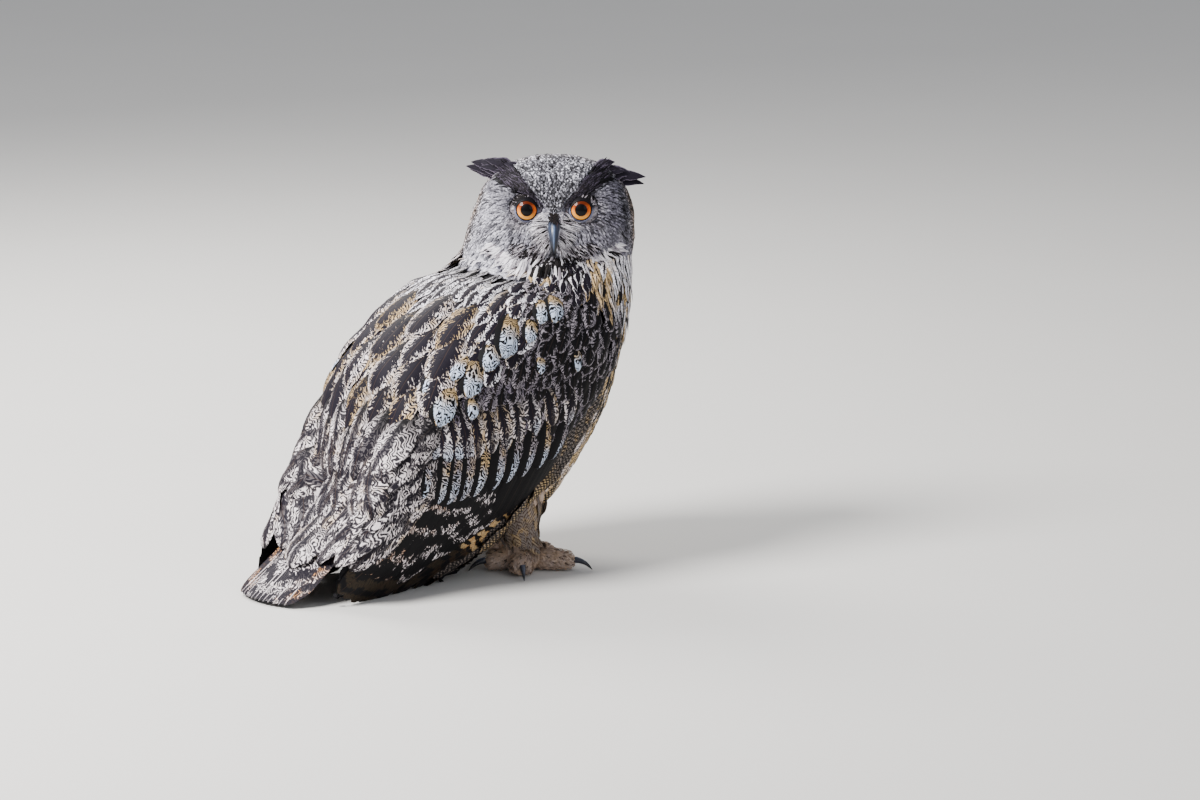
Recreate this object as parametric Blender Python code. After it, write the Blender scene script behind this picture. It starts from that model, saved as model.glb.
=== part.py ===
"""Eurasian eagle-owl, a still life-size model that stands on its feathered feet, tail tip on the floor.

The bird faces -Y, its right side is -X and +Z is up.  Sizes are in metres.  A place on the bird is given as
(ahead, right, up): how far towards the breast, towards its right wing, and above the floor.
"""

import math

import bmesh
import bpy
import numpy as np
from mathutils import Matrix, Vector

# Driving dimensions, in metres and degrees
JOIN_GAP = 0.0003  # clearance where two pieces meet

# The body from the wing tips to the neck: ahead, up, half width, depth to the back, depth to the belly
BODY_STATIONS = {
    "wing_tip": (-0.285, 0.020, 0.062, 0.030, 0.012),
    "tail_mid": (-0.240, 0.062, 0.068, 0.040, 0.022),
    "tail_root": (-0.190, 0.102, 0.075, 0.058, 0.042),
    "rump": (-0.130, 0.140, 0.094, 0.096, 0.106),
    "back": (-0.062, 0.180, 0.104, 0.114, 0.148),
    "belly": (0.000, 0.218, 0.106, 0.112, 0.125),
    "breast": (0.038, 0.256, 0.102, 0.094, 0.096),
    "shoulder": (0.058, 0.290, 0.091, 0.078, 0.080),
    "neck": (0.068, 0.320, 0.080, 0.072, 0.074),
}
TRUNK_START = 1.7  # station number where the tail coverts end
TRUNK_END = 6.3  # station number where the neck begins
TRUNK_SIDES = 32
BACK_SQUARENESS = 0.25  # how much broader than an ellipse the back is
BELLY_SQUARENESS = 0.16
RUMP_TAPER = 0.68  # how much narrower than the body the trunk ends over the tail
NECK_SWELL = 0.035

HEAD_CENTRE = (0.070, 0.0, 0.372)  # at eye level
HEAD_TURN = 130.0  # to the right of straight ahead
HEAD_PITCH = 5.0  # upwards
HEAD_SIDES = 40
HEAD_LEAN = 0.20  # shift of the head's lower levels back towards the neck, for each metre below the eyes
# The head from below to above: height over eye level, half width, depth to the face, depth to the nape
HEAD_LEVELS = (
    (-0.056, 0.088, 0.054, 0.078),
    (-0.038, 0.089, 0.060, 0.082),
    (-0.016, 0.086, 0.064, 0.084),
    (0.004, 0.081, 0.063, 0.083),
    (0.022, 0.073, 0.059, 0.076),
    (0.036, 0.061, 0.048, 0.062),
    (0.046, 0.042, 0.033, 0.043),
    (0.052, 0.020, 0.016, 0.021),
)

EYE_SPACING = 0.057  # centre to centre
EYE_RADIUS = 0.0165
EYE_AHEAD = 0.0500  # of the eyeball's centre, in front of the head's centre
EYE_SPLAY = 14.0  # that each eye looks outwards
EYE_FACETS = (18, 9)  # around and from pole to pole

BILL_ROOT = (0.060, -0.032)  # ahead and up on the head, the middle of the curve that the upper bill follows
BILL_REACH = 0.019  # how far it stands out of its root
BILL_DROP = 0.023
BILL_RADIUS = 0.0086
BILL_ARC = (10.0, 115.0)  # where the curve starts and how far it turns
LOWER_BILL_ROOT = (0.055, -0.044)
LOWER_BILL_LENGTH = 0.018
LOWER_BILL_RADIUS = 0.0042

TUFT_ROOT = (0.030, 0.036, 0.030)  # ahead, out to the side, up on the head
TUFT_TIPS = {1: (-0.004, 0.094, 0.042), -1: (-0.004, 0.094, 0.028)}
TUFT_HEIGHT = 0.0098
TUFT_THICKNESS = 0.0065
TUFT_ARCH = (0.006, 0.0, 0.002)

# The folded wing from its tip to the shoulder: upper edge from the middle of the back, drop of the lower edge
WING_EDGES = (
    (90.0, 0.018),
    (66.0, 0.078),
    (46.0, 0.124),
    (36.0, 0.120),
    (34.0, 0.080),
    (38.0, 0.052),
    (52.0, 0.044),
    (74.0, 0.018),
)
WING_END = 6.8  # station number of the shoulder joint
WING_TUCK = 2.2  # how strongly the lower edge turns in under the flank
WING_THICKNESS = 0.011
WING_EDGE_THICKNESS = 0.0018
WING_GAP = 0.0021  # between the flank and the wing's flat facets
FEATHER_TIPS = (5.0, 4.2)  # depth of the notches between feather tips, and the last station that has them

TAIL_ROOT = (-0.180, 0.112)  # ahead and up
TAIL_TIP = (-0.328, -0.0030)
TAIL_SAG = 0.010
TAIL_HALF_WIDTHS = (0.038, 0.053)
TAIL_ROOF = 0.010  # height of its middle over its edges
TAIL_FEATHERS = 12
TAIL_THICKNESS = 0.009

FOOT_AHEAD = -0.020
FOOT_APART = 0.098  # pad centre to pad centre
FOOT_TURN = {1: 0.0, -1: 8.0}  # of the right and of the left foot
PAD_RINGS = ((-0.002, 0.014), (0.006, 0.0195), (0.013, 0.0185), (0.0188, 0.0150))  # height and radius
TOES = {  # outwards from straight ahead, length to the claw's root
    "inner": (-8.0, 0.050),
    "middle": (48.0, 0.059),
    "outer": (124.0, 0.044),
    "hind": (-158.0, 0.036),
}
TOE_RADIUS = 0.0130
TOE_UP = 0.0105
CLAW_LENGTH = 0.029
CLAW_RADIUS = 0.0043
CLAW_BEND = 70.0
CLAW_RISE = 14.0
ANKLE_UP = 0.012
ANKLE_RADIUS = 0.0170
THIGH_PLACE = (-0.022, 0.042, 0.140)  # ahead, out to the side, up
THIGH_RADIUS = 0.0420

COLOURS = {
    "plumage": (0.42, 0.34, 0.25),
    "flight": (0.22, 0.17, 0.12),
    "face": (0.50, 0.47, 0.43),
    "down": (0.66, 0.55, 0.42),
    "tuft": (0.06, 0.05, 0.05),
    "horn": (0.03, 0.035, 0.045),
    "eye": (0.80, 0.27, 0.04),
}
ROUGHNESS = {"horn": 0.3, "eye": 0.08}
PLAIN_ROUGHNESS = 0.9
UP = Vector((0, 0, 1))


# Small helpers


def clear_scene():
    for obj in list(bpy.data.objects):
        bpy.data.objects.remove(obj)


def material(name):
    made = bpy.data.materials.get(name)
    if made is None:
        made = bpy.data.materials.new(name)
        made.use_nodes = True
        shader = made.node_tree.nodes["Principled BSDF"]
        shader.inputs["Base Color"].default_value = (*COLOURS[name], 1.0)
        shader.inputs["Roughness"].default_value = ROUGHNESS.get(name, PLAIN_ROUGHNESS)
        shader.inputs["Metallic"].default_value = 0.0
    return made


def place(ahead, right, up):
    """World point of a place on the bird."""
    return Vector((-right, -ahead, up))


def sided(name, side):
    return name + ("_right" if side > 0 else "_left")


def between(keys, at):
    """Smooth curve through the rows of keys, read at row number `at` (Catmull-Rom)."""
    rows = np.array(keys, float)
    at = min(max(at, 0.0), len(rows) - 1.0)
    i = min(int(at), len(rows) - 2)
    t = at - i
    last = len(rows) - 1
    before, first, second, after = (rows[min(max(k, 0), last)] for k in (i - 1, i, i + 1, i + 2))
    slope_in = (second - before) / 2
    slope_out = (after - first) / 2
    return (
        first * (2 * t**3 - 3 * t**2 + 1)
        + slope_in * (t**3 - 2 * t**2 + t)
        + second * (3 * t**2 - 2 * t**3)
        + slope_out * (t**3 - t**2)
    )


def bump(distance, reach):
    """1 at the middle, falling smoothly to 0 past `reach`."""
    return math.exp(-((distance / reach) ** 2) * 2.0)


def circle(centre, first, second, sides):
    """Points of an ellipse round centre, whose half axes are the vectors first and second."""
    angles = [math.tau * i / sides for i in range(sides)]
    return [centre + first * math.cos(a) + second * math.sin(a) for a in angles]


def heading_at(path, k):
    """Direction of a path at its point number k."""
    return (path[min(k + 1, len(path) - 1)] - path[max(k - 1, 0)]).normalized()


def steps(count):
    """count + 1 numbers from 0 to 1."""
    return [k / count for k in range(count + 1)]


# Solids


def closed_mesh(name, fill, slot, sharp_degrees=50.0):
    """An object whose mesh `fill` writes into a bmesh; its faces are turned outwards and shaded smooth."""
    shape = bmesh.new()
    fill(shape)
    bmesh.ops.recalc_face_normals(shape, faces=shape.faces)
    mesh = bpy.data.meshes.new(name)
    shape.to_mesh(mesh)
    shape.free()
    mesh.shade_smooth()
    mesh.set_sharp_from_angle(angle=math.radians(sharp_degrees))
    mesh.materials.append(material(slot))
    obj = bpy.data.objects.new(name, mesh)
    bpy.context.scene.collection.objects.link(obj)
    return obj


def loft(name, rings, slot, poles=None):
    """A closed solid through rings of equal length; a fan closes each end at its pole, or at its middle."""
    if poles is None:
        poles = [sum((Vector(p) for p in ring), Vector()) / len(ring) for ring in (rings[0], rings[-1])]

    def fill(shape):
        rows = [[shape.verts.new(point) for point in ring] for ring in rings]
        for low, high in zip(rows, rows[1:]):
            for i in range(len(low)):
                j = (i + 1) % len(low)
                shape.faces.new((low[i], low[j], high[j], high[i]))
        for pole, row in zip(poles, (rows[0], rows[-1])):
            middle = shape.verts.new(pole)
            for i in range(len(row)):
                shape.faces.new((row[i], row[(i + 1) % len(row)], middle))

    return closed_mesh(name, fill, slot)


def slab(name, outer, inner, slot):
    """A closed solid between two sheets of points with the same rows and columns."""

    def fill(shape):
        sheets = [[[shape.verts.new(p) for p in row] for row in sheet] for sheet in (outer, inner)]
        last_row, last_column = len(outer) - 1, len(outer[0]) - 1
        for sheet in sheets:
            for i in range(last_row):
                for j in range(last_column):
                    shape.faces.new((sheet[i][j], sheet[i][j + 1], sheet[i + 1][j + 1], sheet[i + 1][j]))
        rim = [(0, j) for j in range(last_column)]
        rim += [(i, last_column) for i in range(last_row)]
        rim += [(last_row, j) for j in range(last_column, 0, -1)]
        rim += [(i, 0) for i in range(last_row, 0, -1)]
        for k, (i, j) in enumerate(rim):
            m, n = rim[(k + 1) % len(rim)]
            shape.faces.new((sheets[0][i][j], sheets[0][m][n], sheets[1][m][n], sheets[1][i][j]))

    return closed_mesh(name, fill, slot)


def tube(name, path, radii, slot, sides, across=None, narrow=1.0, tall=1.0):
    """A closed tube along `path`, `narrow` and `tall` times its radius wide and high."""
    rings = []
    for k, point in enumerate(path):
        along = heading_at(path, k)
        side = along.cross(UP).normalized() if across is None else across
        over = side.cross(along).normalized()
        rings.append(circle(point, side * radii[k] * narrow, over * radii[k] * tall, sides))
    return loft(name, rings, slot)


def cut(obj, cutter, operation="DIFFERENCE"):
    """Cuts obj with cutter, or joins them, and leaves the cutter out of the model."""
    modifier = obj.modifiers.new("cut", "BOOLEAN")
    modifier.operation = operation
    modifier.solver = "EXACT"
    modifier.object = cutter
    cutter.hide_render = True
    cutter.display_type = "WIRE"


def grown(obj, by=JOIN_GAP):
    """A cutter: the object as it stands with its modifiers, each corner moved outwards along its normal."""
    bpy.context.view_layer.update()
    graph = bpy.context.evaluated_depsgraph_get()
    mesh = bpy.data.meshes.new_from_object(obj.evaluated_get(graph))
    shape = bmesh.new()
    shape.from_mesh(mesh)
    shape.normal_update()
    for corner in shape.verts:
        corner.co += corner.normal * by
    shape.to_mesh(mesh)
    shape.free()
    copy = bpy.data.objects.new(obj.name + "_clearance", mesh)
    bpy.context.scene.collection.objects.link(copy)
    return copy


def trim_below_floor(obj):
    """Cuts away what reaches under the floor, which leaves the small flat that the bird rests on."""
    size = Vector((2.0, 2.0, 0.2))

    def fill(shape):
        bmesh.ops.create_cube(shape, size=1.0)
        lowered = Matrix.Translation((0, 0, -size.z / 2)) @ Matrix.Diagonal((*size, 1.0))
        bmesh.ops.transform(shape, matrix=lowered, verts=shape.verts)

    cut(obj, closed_mesh(obj.name + "_floor", fill, "plumage"))


# Trunk


def body_frame(station):
    """At a station number: centre, lateral and dorsal directions, half width, depths to back and belly."""
    stations = list(BODY_STATIONS.values())
    ahead, up, width, back, belly = between(stations, station)
    step = 0.05
    front = between(stations, station + step)
    rear = between(stations, station - step)
    along = Vector((0, -(front[0] - rear[0]), front[1] - rear[1])).normalized()
    lateral = Vector((-1, 0, 0))
    dorsal = along.cross(lateral).normalized()
    if dorsal.z < 0:
        dorsal = -dorsal
    return place(ahead, 0, up), lateral, dorsal, width, back, belly


def body_point(station, angle, lift=0.0):
    """A point on the body: angle in degrees from the middle of the back towards the right wing."""
    centre, lateral, dorsal, width, back, belly = body_frame(station)
    sine, cosine = math.sin(math.radians(angle)), math.cos(math.radians(angle))
    depth = back if cosine > 0 else belly
    outwards = (lateral * (sine / width) + dorsal * (cosine / depth)).normalized()
    squareness = 1.0 - (BACK_SQUARENESS if cosine > 0 else BELLY_SQUARENESS) * abs(cosine)
    sine = math.copysign(abs(sine) ** squareness, sine)
    cosine = math.copysign(abs(cosine) ** squareness, cosine)
    return centre + lateral * (width * sine) + dorsal * (depth * cosine) + outwards * lift


def body_ring(station, shrink=1.0):
    centre = body_frame(station)[0]
    angles = [360.0 * i / TRUNK_SIDES for i in range(TRUNK_SIDES)]
    return [centre + (body_point(station, a) - centre) * shrink for a in angles]


def make_trunk():
    """From the coverts over the tail's root to the breast."""
    tapered_share, ring_count = 0.30, 14
    rings = []
    for t in steps(ring_count):
        taper = 1.0 - RUMP_TAPER * max(0.0, 1.0 - t / tapered_share) ** 2.2
        rings.append(body_ring(TRUNK_START + (TRUNK_END - TRUNK_START) * t, taper))
    return loft("trunk", rings, "plumage")


# Head and neck


def head_directions():
    turn, pitch = math.radians(HEAD_TURN), math.radians(HEAD_PITCH)
    level = place(math.cos(turn), math.sin(turn), 0)
    face = level * math.cos(pitch) + UP * math.sin(pitch)
    right = face.cross(UP).normalized()
    return face, right, right.cross(face).normalized()


def head_place(ahead, right, up):
    """World point of a place on the head, measured from its centre in the head's own directions."""
    face, side, top = head_directions()
    return place(*HEAD_CENTRE) + face * ahead + side * right + top * up


def face_relief(side, up):
    """How far the face stands out of a plain round head: brow, eye hollows, muzzle and cheeks."""
    eye = math.hypot(abs(side) - EYE_SPACING / 2, up)
    brow_up = 0.020 + 0.35 * (abs(side) - 0.02)
    brow = bump(up - brow_up, 0.012) * bump(side, 0.075)
    muzzle = bump(math.hypot(side / 0.020, (up + 0.018) / 0.030), 1.0)
    rim = bump(math.hypot(side / 0.074, (up + 0.004) / 0.050) - 1.0, 0.16)
    return -0.0085 * bump(eye, 0.019) + 0.0035 * brow + 0.0070 * muzzle + 0.0020 * rim


def head_ring(level, sides=HEAD_SIDES):
    """One level of the head; its first point looks straight ahead of the bird, as the trunk's rings do."""
    up, width, front, back = between(HEAD_LEVELS, level)
    cheek_squareness = 0.82
    points = []
    for i in range(sides):
        angle = math.radians(360.0 * i / sides - (180.0 - HEAD_TURN))
        cosine, sine = math.cos(angle), math.sin(angle)
        depth, squareness = (front, cheek_squareness) if cosine > 0 else (back, 1.0)
        side = -width * math.copysign(abs(sine) ** squareness, sine)
        ahead = depth * math.copysign(abs(cosine) ** squareness, cosine)
        if cosine > 0:
            ahead += face_relief(side, up) * min(1.0, cosine * 2.0)
        points.append(head_place(ahead, side, up) - place(HEAD_LEAN * max(0.0, -up), 0, 0))
    return points


def make_head():
    last_level, ring_count = len(HEAD_LEVELS) - 1, 14
    head = loft("head", [head_ring(last_level * t) for t in steps(ring_count)], "face")
    for side in (1, -1):
        cut(head, eyeball("socket", side, EYE_RADIUS + 1.5 * JOIN_GAP))
    return head


def make_neck():
    """From the trunk's front end to the head's lower one, a hair short of both."""
    centre = body_frame(TRUNK_END)[0]
    along = (body_frame(TRUNK_END + 0.1)[0] - centre).normalized()
    low = [p + along * JOIN_GAP for p in body_ring(TRUNK_END)]
    high = [p - head_directions()[2] * JOIN_GAP for p in head_ring(0.0, TRUNK_SIDES)]
    middle = (centre + sum(high, Vector()) / len(high)) / 2
    rings = []
    for t in steps(5):
        swell = 1.0 + NECK_SWELL * math.sin(math.pi * t)
        straight = [a.lerp(b, t) for a, b in zip(low, high)]
        rings.append([middle + (p - middle) * swell for p in straight] if 0 < t < 1 else straight)
    return loft("neck", rings, "plumage")


# Wings and tail


def wing_point(station, across, side, lift, notch=0.0):
    """A point on the folded wing: across is 0 at its upper edge on the back, 1 at its lower edge."""
    upper, drop = between(WING_EDGES, station)
    upper += notch
    centre, lateral, dorsal, width, _, _ = body_frame(station)
    arc = width * math.radians(90.0 - upper)
    reach = across * (arc + drop)
    if reach < arc:
        return body_point(station, side * (upper + (90.0 - upper) * reach / arc), lift)
    down = reach - arc
    inwards = WING_TUCK * down**2
    outwards = (lateral * side + dorsal * (-2 * WING_TUCK * down)).normalized()
    return centre + lateral * (side * (width - inwards)) - dorsal * down + outwards * lift


def make_wing(side):
    """A folded wing that wraps the flank, with notches between the feather tips along its upper edge."""
    along_count, across_count = 24, 7
    notch_depth, last_notched = FEATHER_TIPS
    outer, inner = [], []
    for i in range(along_count + 1):
        station = WING_END * i / along_count
        end_taper = min(1.0, i / 3.0, (along_count - i) / 4.0)
        fullness = end_taper * (0.40 + 0.10 * station)
        notch = notch_depth if i % 2 and station < last_notched else 0.0
        outer_row, inner_row = [], []
        for across in steps(across_count):
            swell = math.sqrt(max(0.0, math.sin(math.pi * across)))
            thickness = WING_EDGE_THICKNESS + WING_THICKNESS * swell * fullness
            outer_row.append(wing_point(station, across, side, WING_GAP + thickness, notch))
            inner_row.append(wing_point(station, across, side, WING_GAP, notch))
        outer.append(outer_row)
        inner.append(inner_row)
    wing = slab(sided("wing", side), outer, inner, "flight")
    trim_below_floor(wing)
    return wing


def tail_point(across, along, over):
    """across -1 to 1, along 0 at the root to 1 at the tip, over: height above the tail's middle sheet."""
    ahead = TAIL_ROOT[0] + (TAIL_TIP[0] - TAIL_ROOT[0]) * along
    up = TAIL_ROOT[1] + (TAIL_TIP[1] - TAIL_ROOT[1]) * along - TAIL_SAG * math.sin(math.pi * along)
    width = TAIL_HALF_WIDTHS[0] + (TAIL_HALF_WIDTHS[1] - TAIL_HALF_WIDTHS[0]) * along
    roof = TAIL_ROOF * (1.0 - across**2) * (1.0 - 0.75 * along)
    slope = math.atan2(TAIL_ROOT[1] - TAIL_TIP[1], TAIL_ROOT[0] - TAIL_TIP[0])
    normal = place(-math.sin(slope), 0, math.cos(slope))
    return place(ahead, across * width, up) + normal * (roof + over)


def make_tail(trunk):
    """A roof of tail feathers with rounded tips."""
    columns, rows, tip_depth = 2 * TAIL_FEATHERS, 5, 0.018
    outer, inner = [], []
    for i in range(rows + 1):
        outer_row, inner_row = [], []
        for j in range(columns + 1):
            across = 2.0 * j / columns - 1.0
            reach = 1.0 - 0.07 * across**2 - (0.0 if j % 2 else tip_depth)
            along = reach * i / rows
            thickness = TAIL_THICKNESS * (1.0 - 0.72 * along)
            outer_row.append(tail_point(across, along, thickness / 2))
            inner_row.append(tail_point(across, along, -thickness / 2))
        outer.append(outer_row)
        inner.append(inner_row)
    tail = slab("tail", outer, inner, "flight")
    cut(tail, grown(trunk))
    trim_below_floor(tail)


# Legs, toes and claws


def foot_centre(side):
    return place(FOOT_AHEAD, side * FOOT_APART / 2, 0)


def toe_direction(side, toe):
    angle = math.radians(TOES[toe][0] - FOOT_TURN[side])
    return place(math.cos(angle), side * math.sin(angle), 0)


def make_leg(side, trunk, foot):
    """Thigh and tarsus in one feathered column, cut where it meets the belly and the foot."""
    ankle = foot_centre(side) + UP * ANKLE_UP
    ahead, out, up = THIGH_PLACE
    thigh = place(ahead, side * out, up)
    fullest, bow, top_narrowing = 0.74, 0.006, 0.060
    path, radii = [], []
    for t in steps(10):
        path.append(ankle.lerp(thigh, t) + place(-bow * math.sin(math.pi * t), 0, 0))
        fullness = math.sin(math.pi / 2 * min(1.0, t / fullest)) ** 3
        radii.append(
            ANKLE_RADIUS + (THIGH_RADIUS - ANKLE_RADIUS) * fullness - top_narrowing * max(0.0, t - fullest)
        )
    leg = tube(sided("leg", side), path, radii, "down", 14, across=Vector((1, 0, 0)))
    cut(leg, grown(trunk))
    cut(leg, grown(foot, 3 * JOIN_GAP))


def make_foot(side):
    """Four feathered toes that meet under the tarsus, flat underneath."""
    centre = foot_centre(side)
    name = sided("foot", side)
    ahead, across = Vector((1, 0, 0)), Vector((0, 1, 0))
    rings = [circle(centre + UP * up, ahead * radius, across * radius, 16) for up, radius in PAD_RINGS]
    foot = loft(name, rings, "down")
    for toe, (_, length) in TOES.items():
        heading = toe_direction(side, toe)
        root, tip_share = 0.004, 0.62
        path, radii = [], []
        for t in steps(6):
            path.append(centre + heading * (root + (length - root) * t) + UP * (TOE_UP - 0.001 * t))
            radii.append(TOE_RADIUS * (1.06 - 0.10 * t + 0.06 * math.sin(math.pi * t)))
        radii[-1] = TOE_RADIUS * tip_share
        cut(foot, tube(name + "_" + toe, path, radii, "down", 10, tall=0.95), "UNION")
    trim_below_floor(foot)
    return foot


def make_claw(side, toe, foot_clearance):
    """A claw that leaves the toe forwards and curves down to the floor."""
    heading = toe_direction(side, toe)
    hidden, tip_radius = 0.006, 0.0004
    root = foot_centre(side) + heading * (TOES[toe][1] - hidden) + UP * TOE_UP
    bend, start = math.radians(CLAW_BEND), math.radians(CLAW_RISE)
    radius = CLAW_LENGTH / bend
    path, radii = [], []
    for t in steps(5):
        angle = start - bend * t
        forward = radius * (math.sin(start) - math.sin(angle))
        rise = radius * (math.cos(angle) - math.cos(start))
        path.append(root + heading * forward + UP * rise)
        radii.append(CLAW_RADIUS * (1 - t) ** 0.75 + tip_radius)
    claw = tube(sided("claw", side) + "_" + toe, path, radii, "horn", 8)
    cut(claw, foot_clearance)


# Eyes, bill and ear tufts


def eyeball(name, side, radius):
    """A ball whose pole looks where the eye does."""
    around, levels = EYE_FACETS
    face, right, _ = head_directions()
    splay = math.radians(EYE_SPLAY)
    centre = head_place(EYE_AHEAD, side * EYE_SPACING / 2, 0)
    axis = (face * math.cos(splay) + right * side * math.sin(splay)).normalized()
    across = axis.cross(UP).normalized()
    over = across.cross(axis)
    rings = []
    for k in range(1, levels):
        polar = math.pi * k / levels
        wide, high = radius * math.sin(polar), radius * math.cos(polar)
        rings.append(circle(centre + axis * high, across * wide, over * wide, around))
    return loft(name, rings, "eye", poles=[centre + axis * radius, centre - axis * radius])


def make_bill(head):
    """The hooked upper bill, and the short lower one behind it."""
    sideways = head_directions()[1]
    clearance = grown(head)
    start, arc = BILL_ARC
    hook_tip, narrow, tall = 0.0007, 0.78, 1.1
    upper_path, upper_radii = [], []
    for t in steps(9):
        angle = math.radians(start + arc * t)
        ahead = BILL_ROOT[0] + BILL_REACH * math.sin(angle)
        up = BILL_ROOT[1] + BILL_DROP * (0.74 * math.cos(angle) - 0.26 * t)
        upper_path.append(head_place(ahead, 0, up))
        upper_radii.append(BILL_RADIUS * (1 - t) ** 0.62 + hook_tip)
    ahead, up = LOWER_BILL_ROOT
    lower_path = [head_place(ahead + LOWER_BILL_LENGTH * t, 0, up - 0.002 * t) for t in steps(5)]
    lower_radii = [LOWER_BILL_RADIUS * math.sqrt(1 - t) + hook_tip for t in steps(5)]
    shapes = {"bill_upper": (upper_path, upper_radii), "bill_lower": (lower_path, lower_radii)}
    for name, (path, radii) in shapes.items():
        cut(tube(name, path, radii, "horn", 12, across=sideways, narrow=narrow, tall=tall), clearance)


def make_ear_tuft(side, head):
    """A flat bundle of long feathers that sweeps out over the eye and back."""
    root, tip, arch = Vector(TUFT_ROOT), Vector(TUFT_TIPS[side]), Vector(TUFT_ARCH)
    path = []
    for t in steps(8):
        ahead, out, up = root.lerp(tip, t) + arch * math.sin(math.pi * t)
        path.append(head_place(ahead, side * out, up))
    rings = []
    for k, t in enumerate(steps(8)):
        along = heading_at(path, k)
        thin = along.cross(UP).normalized()
        broad = thin.cross(along).normalized()
        half_height = TUFT_HEIGHT * math.sqrt(max(0.0, 1 - t**2.4)) + 0.0012
        half_thickness = TUFT_THICKNESS * (1 - 0.75 * t) + 0.0004
        rings.append(circle(path[k], thin * half_thickness, broad * half_height, 10))
    cut(loft(sided("ear_tuft", side), rings, "tuft"), grown(head))


def rest_on_origin():
    """Moves everything so that the middle of the box's underside is the origin."""
    bpy.context.view_layer.update()
    graph = bpy.context.evaluated_depsgraph_get()
    shown = [obj for obj in bpy.context.scene.objects if not obj.hide_render]
    corners = [v.co.copy() for obj in shown for v in obj.evaluated_get(graph).to_mesh().vertices]
    low = Vector([min(c[axis] for c in corners) for axis in range(3)])
    high = Vector([max(c[axis] for c in corners) for axis in range(3)])
    middle = (low + high) / 2
    for obj in bpy.context.scene.objects:
        obj.location -= Vector((middle.x, middle.y, low.z))


def main():
    clear_scene()
    trunk = make_trunk()
    neck = make_neck()
    head = make_head()
    make_bill(head)
    make_tail(trunk)
    for side in (1, -1):
        eyeball(sided("eye", side), side, EYE_RADIUS)
        make_ear_tuft(side, head)
        cut(neck, grown(make_wing(side)))
        foot = make_foot(side)
        make_leg(side, trunk, foot)
        foot_clearance = grown(foot)
        for toe in TOES:
            make_claw(side, toe, foot_clearance)
    rest_on_origin()


main()
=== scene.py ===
import math

import bmesh
import bpy
import numpy as np
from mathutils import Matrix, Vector
from mathutils.bvhtree import BVHTree


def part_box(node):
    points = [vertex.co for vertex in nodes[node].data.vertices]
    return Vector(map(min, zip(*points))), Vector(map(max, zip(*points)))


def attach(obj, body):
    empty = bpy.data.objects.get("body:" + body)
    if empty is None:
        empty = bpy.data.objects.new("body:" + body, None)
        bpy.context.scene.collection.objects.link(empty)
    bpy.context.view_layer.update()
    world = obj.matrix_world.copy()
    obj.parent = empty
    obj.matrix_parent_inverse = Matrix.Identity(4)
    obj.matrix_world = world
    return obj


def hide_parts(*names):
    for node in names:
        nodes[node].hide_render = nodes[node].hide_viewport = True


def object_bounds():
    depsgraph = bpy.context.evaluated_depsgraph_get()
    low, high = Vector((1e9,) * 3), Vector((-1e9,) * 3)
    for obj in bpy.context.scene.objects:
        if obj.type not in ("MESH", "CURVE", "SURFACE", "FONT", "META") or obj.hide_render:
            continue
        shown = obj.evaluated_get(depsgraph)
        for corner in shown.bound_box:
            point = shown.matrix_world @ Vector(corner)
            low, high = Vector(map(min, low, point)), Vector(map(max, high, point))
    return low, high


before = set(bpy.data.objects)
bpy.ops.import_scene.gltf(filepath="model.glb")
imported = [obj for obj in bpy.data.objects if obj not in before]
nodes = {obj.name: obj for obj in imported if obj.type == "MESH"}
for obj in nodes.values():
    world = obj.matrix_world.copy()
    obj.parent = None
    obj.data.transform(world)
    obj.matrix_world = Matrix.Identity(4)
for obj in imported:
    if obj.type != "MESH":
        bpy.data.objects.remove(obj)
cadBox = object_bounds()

sideSigns = {"right": 1.0, "left": -1.0}  # of the angle that grows from the middle of the back to the right wing
mm = 0.001


def unit(vectors):
    vectors = np.asarray(vectors, float)
    return vectors / np.maximum(np.linalg.norm(vectors, axis=-1, keepdims=True), 1e-12)


def alongSurface(directions, normals):  # unit directions without what points off the surface
    return unit(directions - normals * np.sum(directions * normals, axis=-1, keepdims=True))


def between(first, second, share):
    return first * (1 - share) + second * share


def columns(*values):
    return np.stack(np.broadcast_arrays(*values), axis=-1)


def smoothStep(value, low, high):
    t = np.clip((value - low) / (high - low), 0.0, 1.0)
    return t * t * (3 - 2 * t)


def boxOf(node):  # its low and its high corner
    return np.array(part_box(node))


def middle(node):
    return boxOf(node).sum(axis=0) / 2


def linked(name, data):  # a new object in the scene
    made = bpy.data.objects.new(name, data)
    bpy.context.scene.collection.objects.link(made)
    return made


# The head's own directions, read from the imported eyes
headSettings = {"pitch": 5.0, "eyeAhead": 0.050}  # degrees the face looks up, eyes in front of the head's centre
eyePlaces = {side: middle("eye_" + side) for side in sideSigns}
eyesMiddle = (eyePlaces["right"] + eyePlaces["left"]) / 2
headRight = unit((eyePlaces["right"] - eyePlaces["left"]) * (1, 1, 0))
levelFace = np.cross((0.0, 0.0, 1.0), headRight)
pitch = math.radians(headSettings["pitch"])
headFace = levelFace * math.cos(pitch) + np.array((0, 0, math.sin(pitch)))
headTop = np.cross(headRight, headFace)
headCentre = eyesMiddle - headFace * headSettings["eyeAhead"]


def onHead(points):  # mm ahead, right and up of the head's centre, which is at eye level
    return ((np.asarray(points, float) - headCentre) @ np.stack([headFace, headRight, headTop], axis=1) / mm).T


def headPoint(ahead, right, up):  # the place that onHead reads
    ahead, right, up = (np.asarray(value, float)[..., None] * mm for value in (ahead, right, up))
    return headCentre + headFace * ahead + headRight * right + headTop * up


# Camera

cameraSettings = {
    "heading": (0.766, -0.643),  # the level direction in which it looks
    "down": 11.5,  # degrees
    "distance": 6.0,
    "fieldWidth": 1.26,  # metres across the view at the bird
    "eyesLeft": 0.0483,  # of the view's middle, in metres
    "eyesUp": 0.2006,
    "sensor": 36.0,
}


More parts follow.
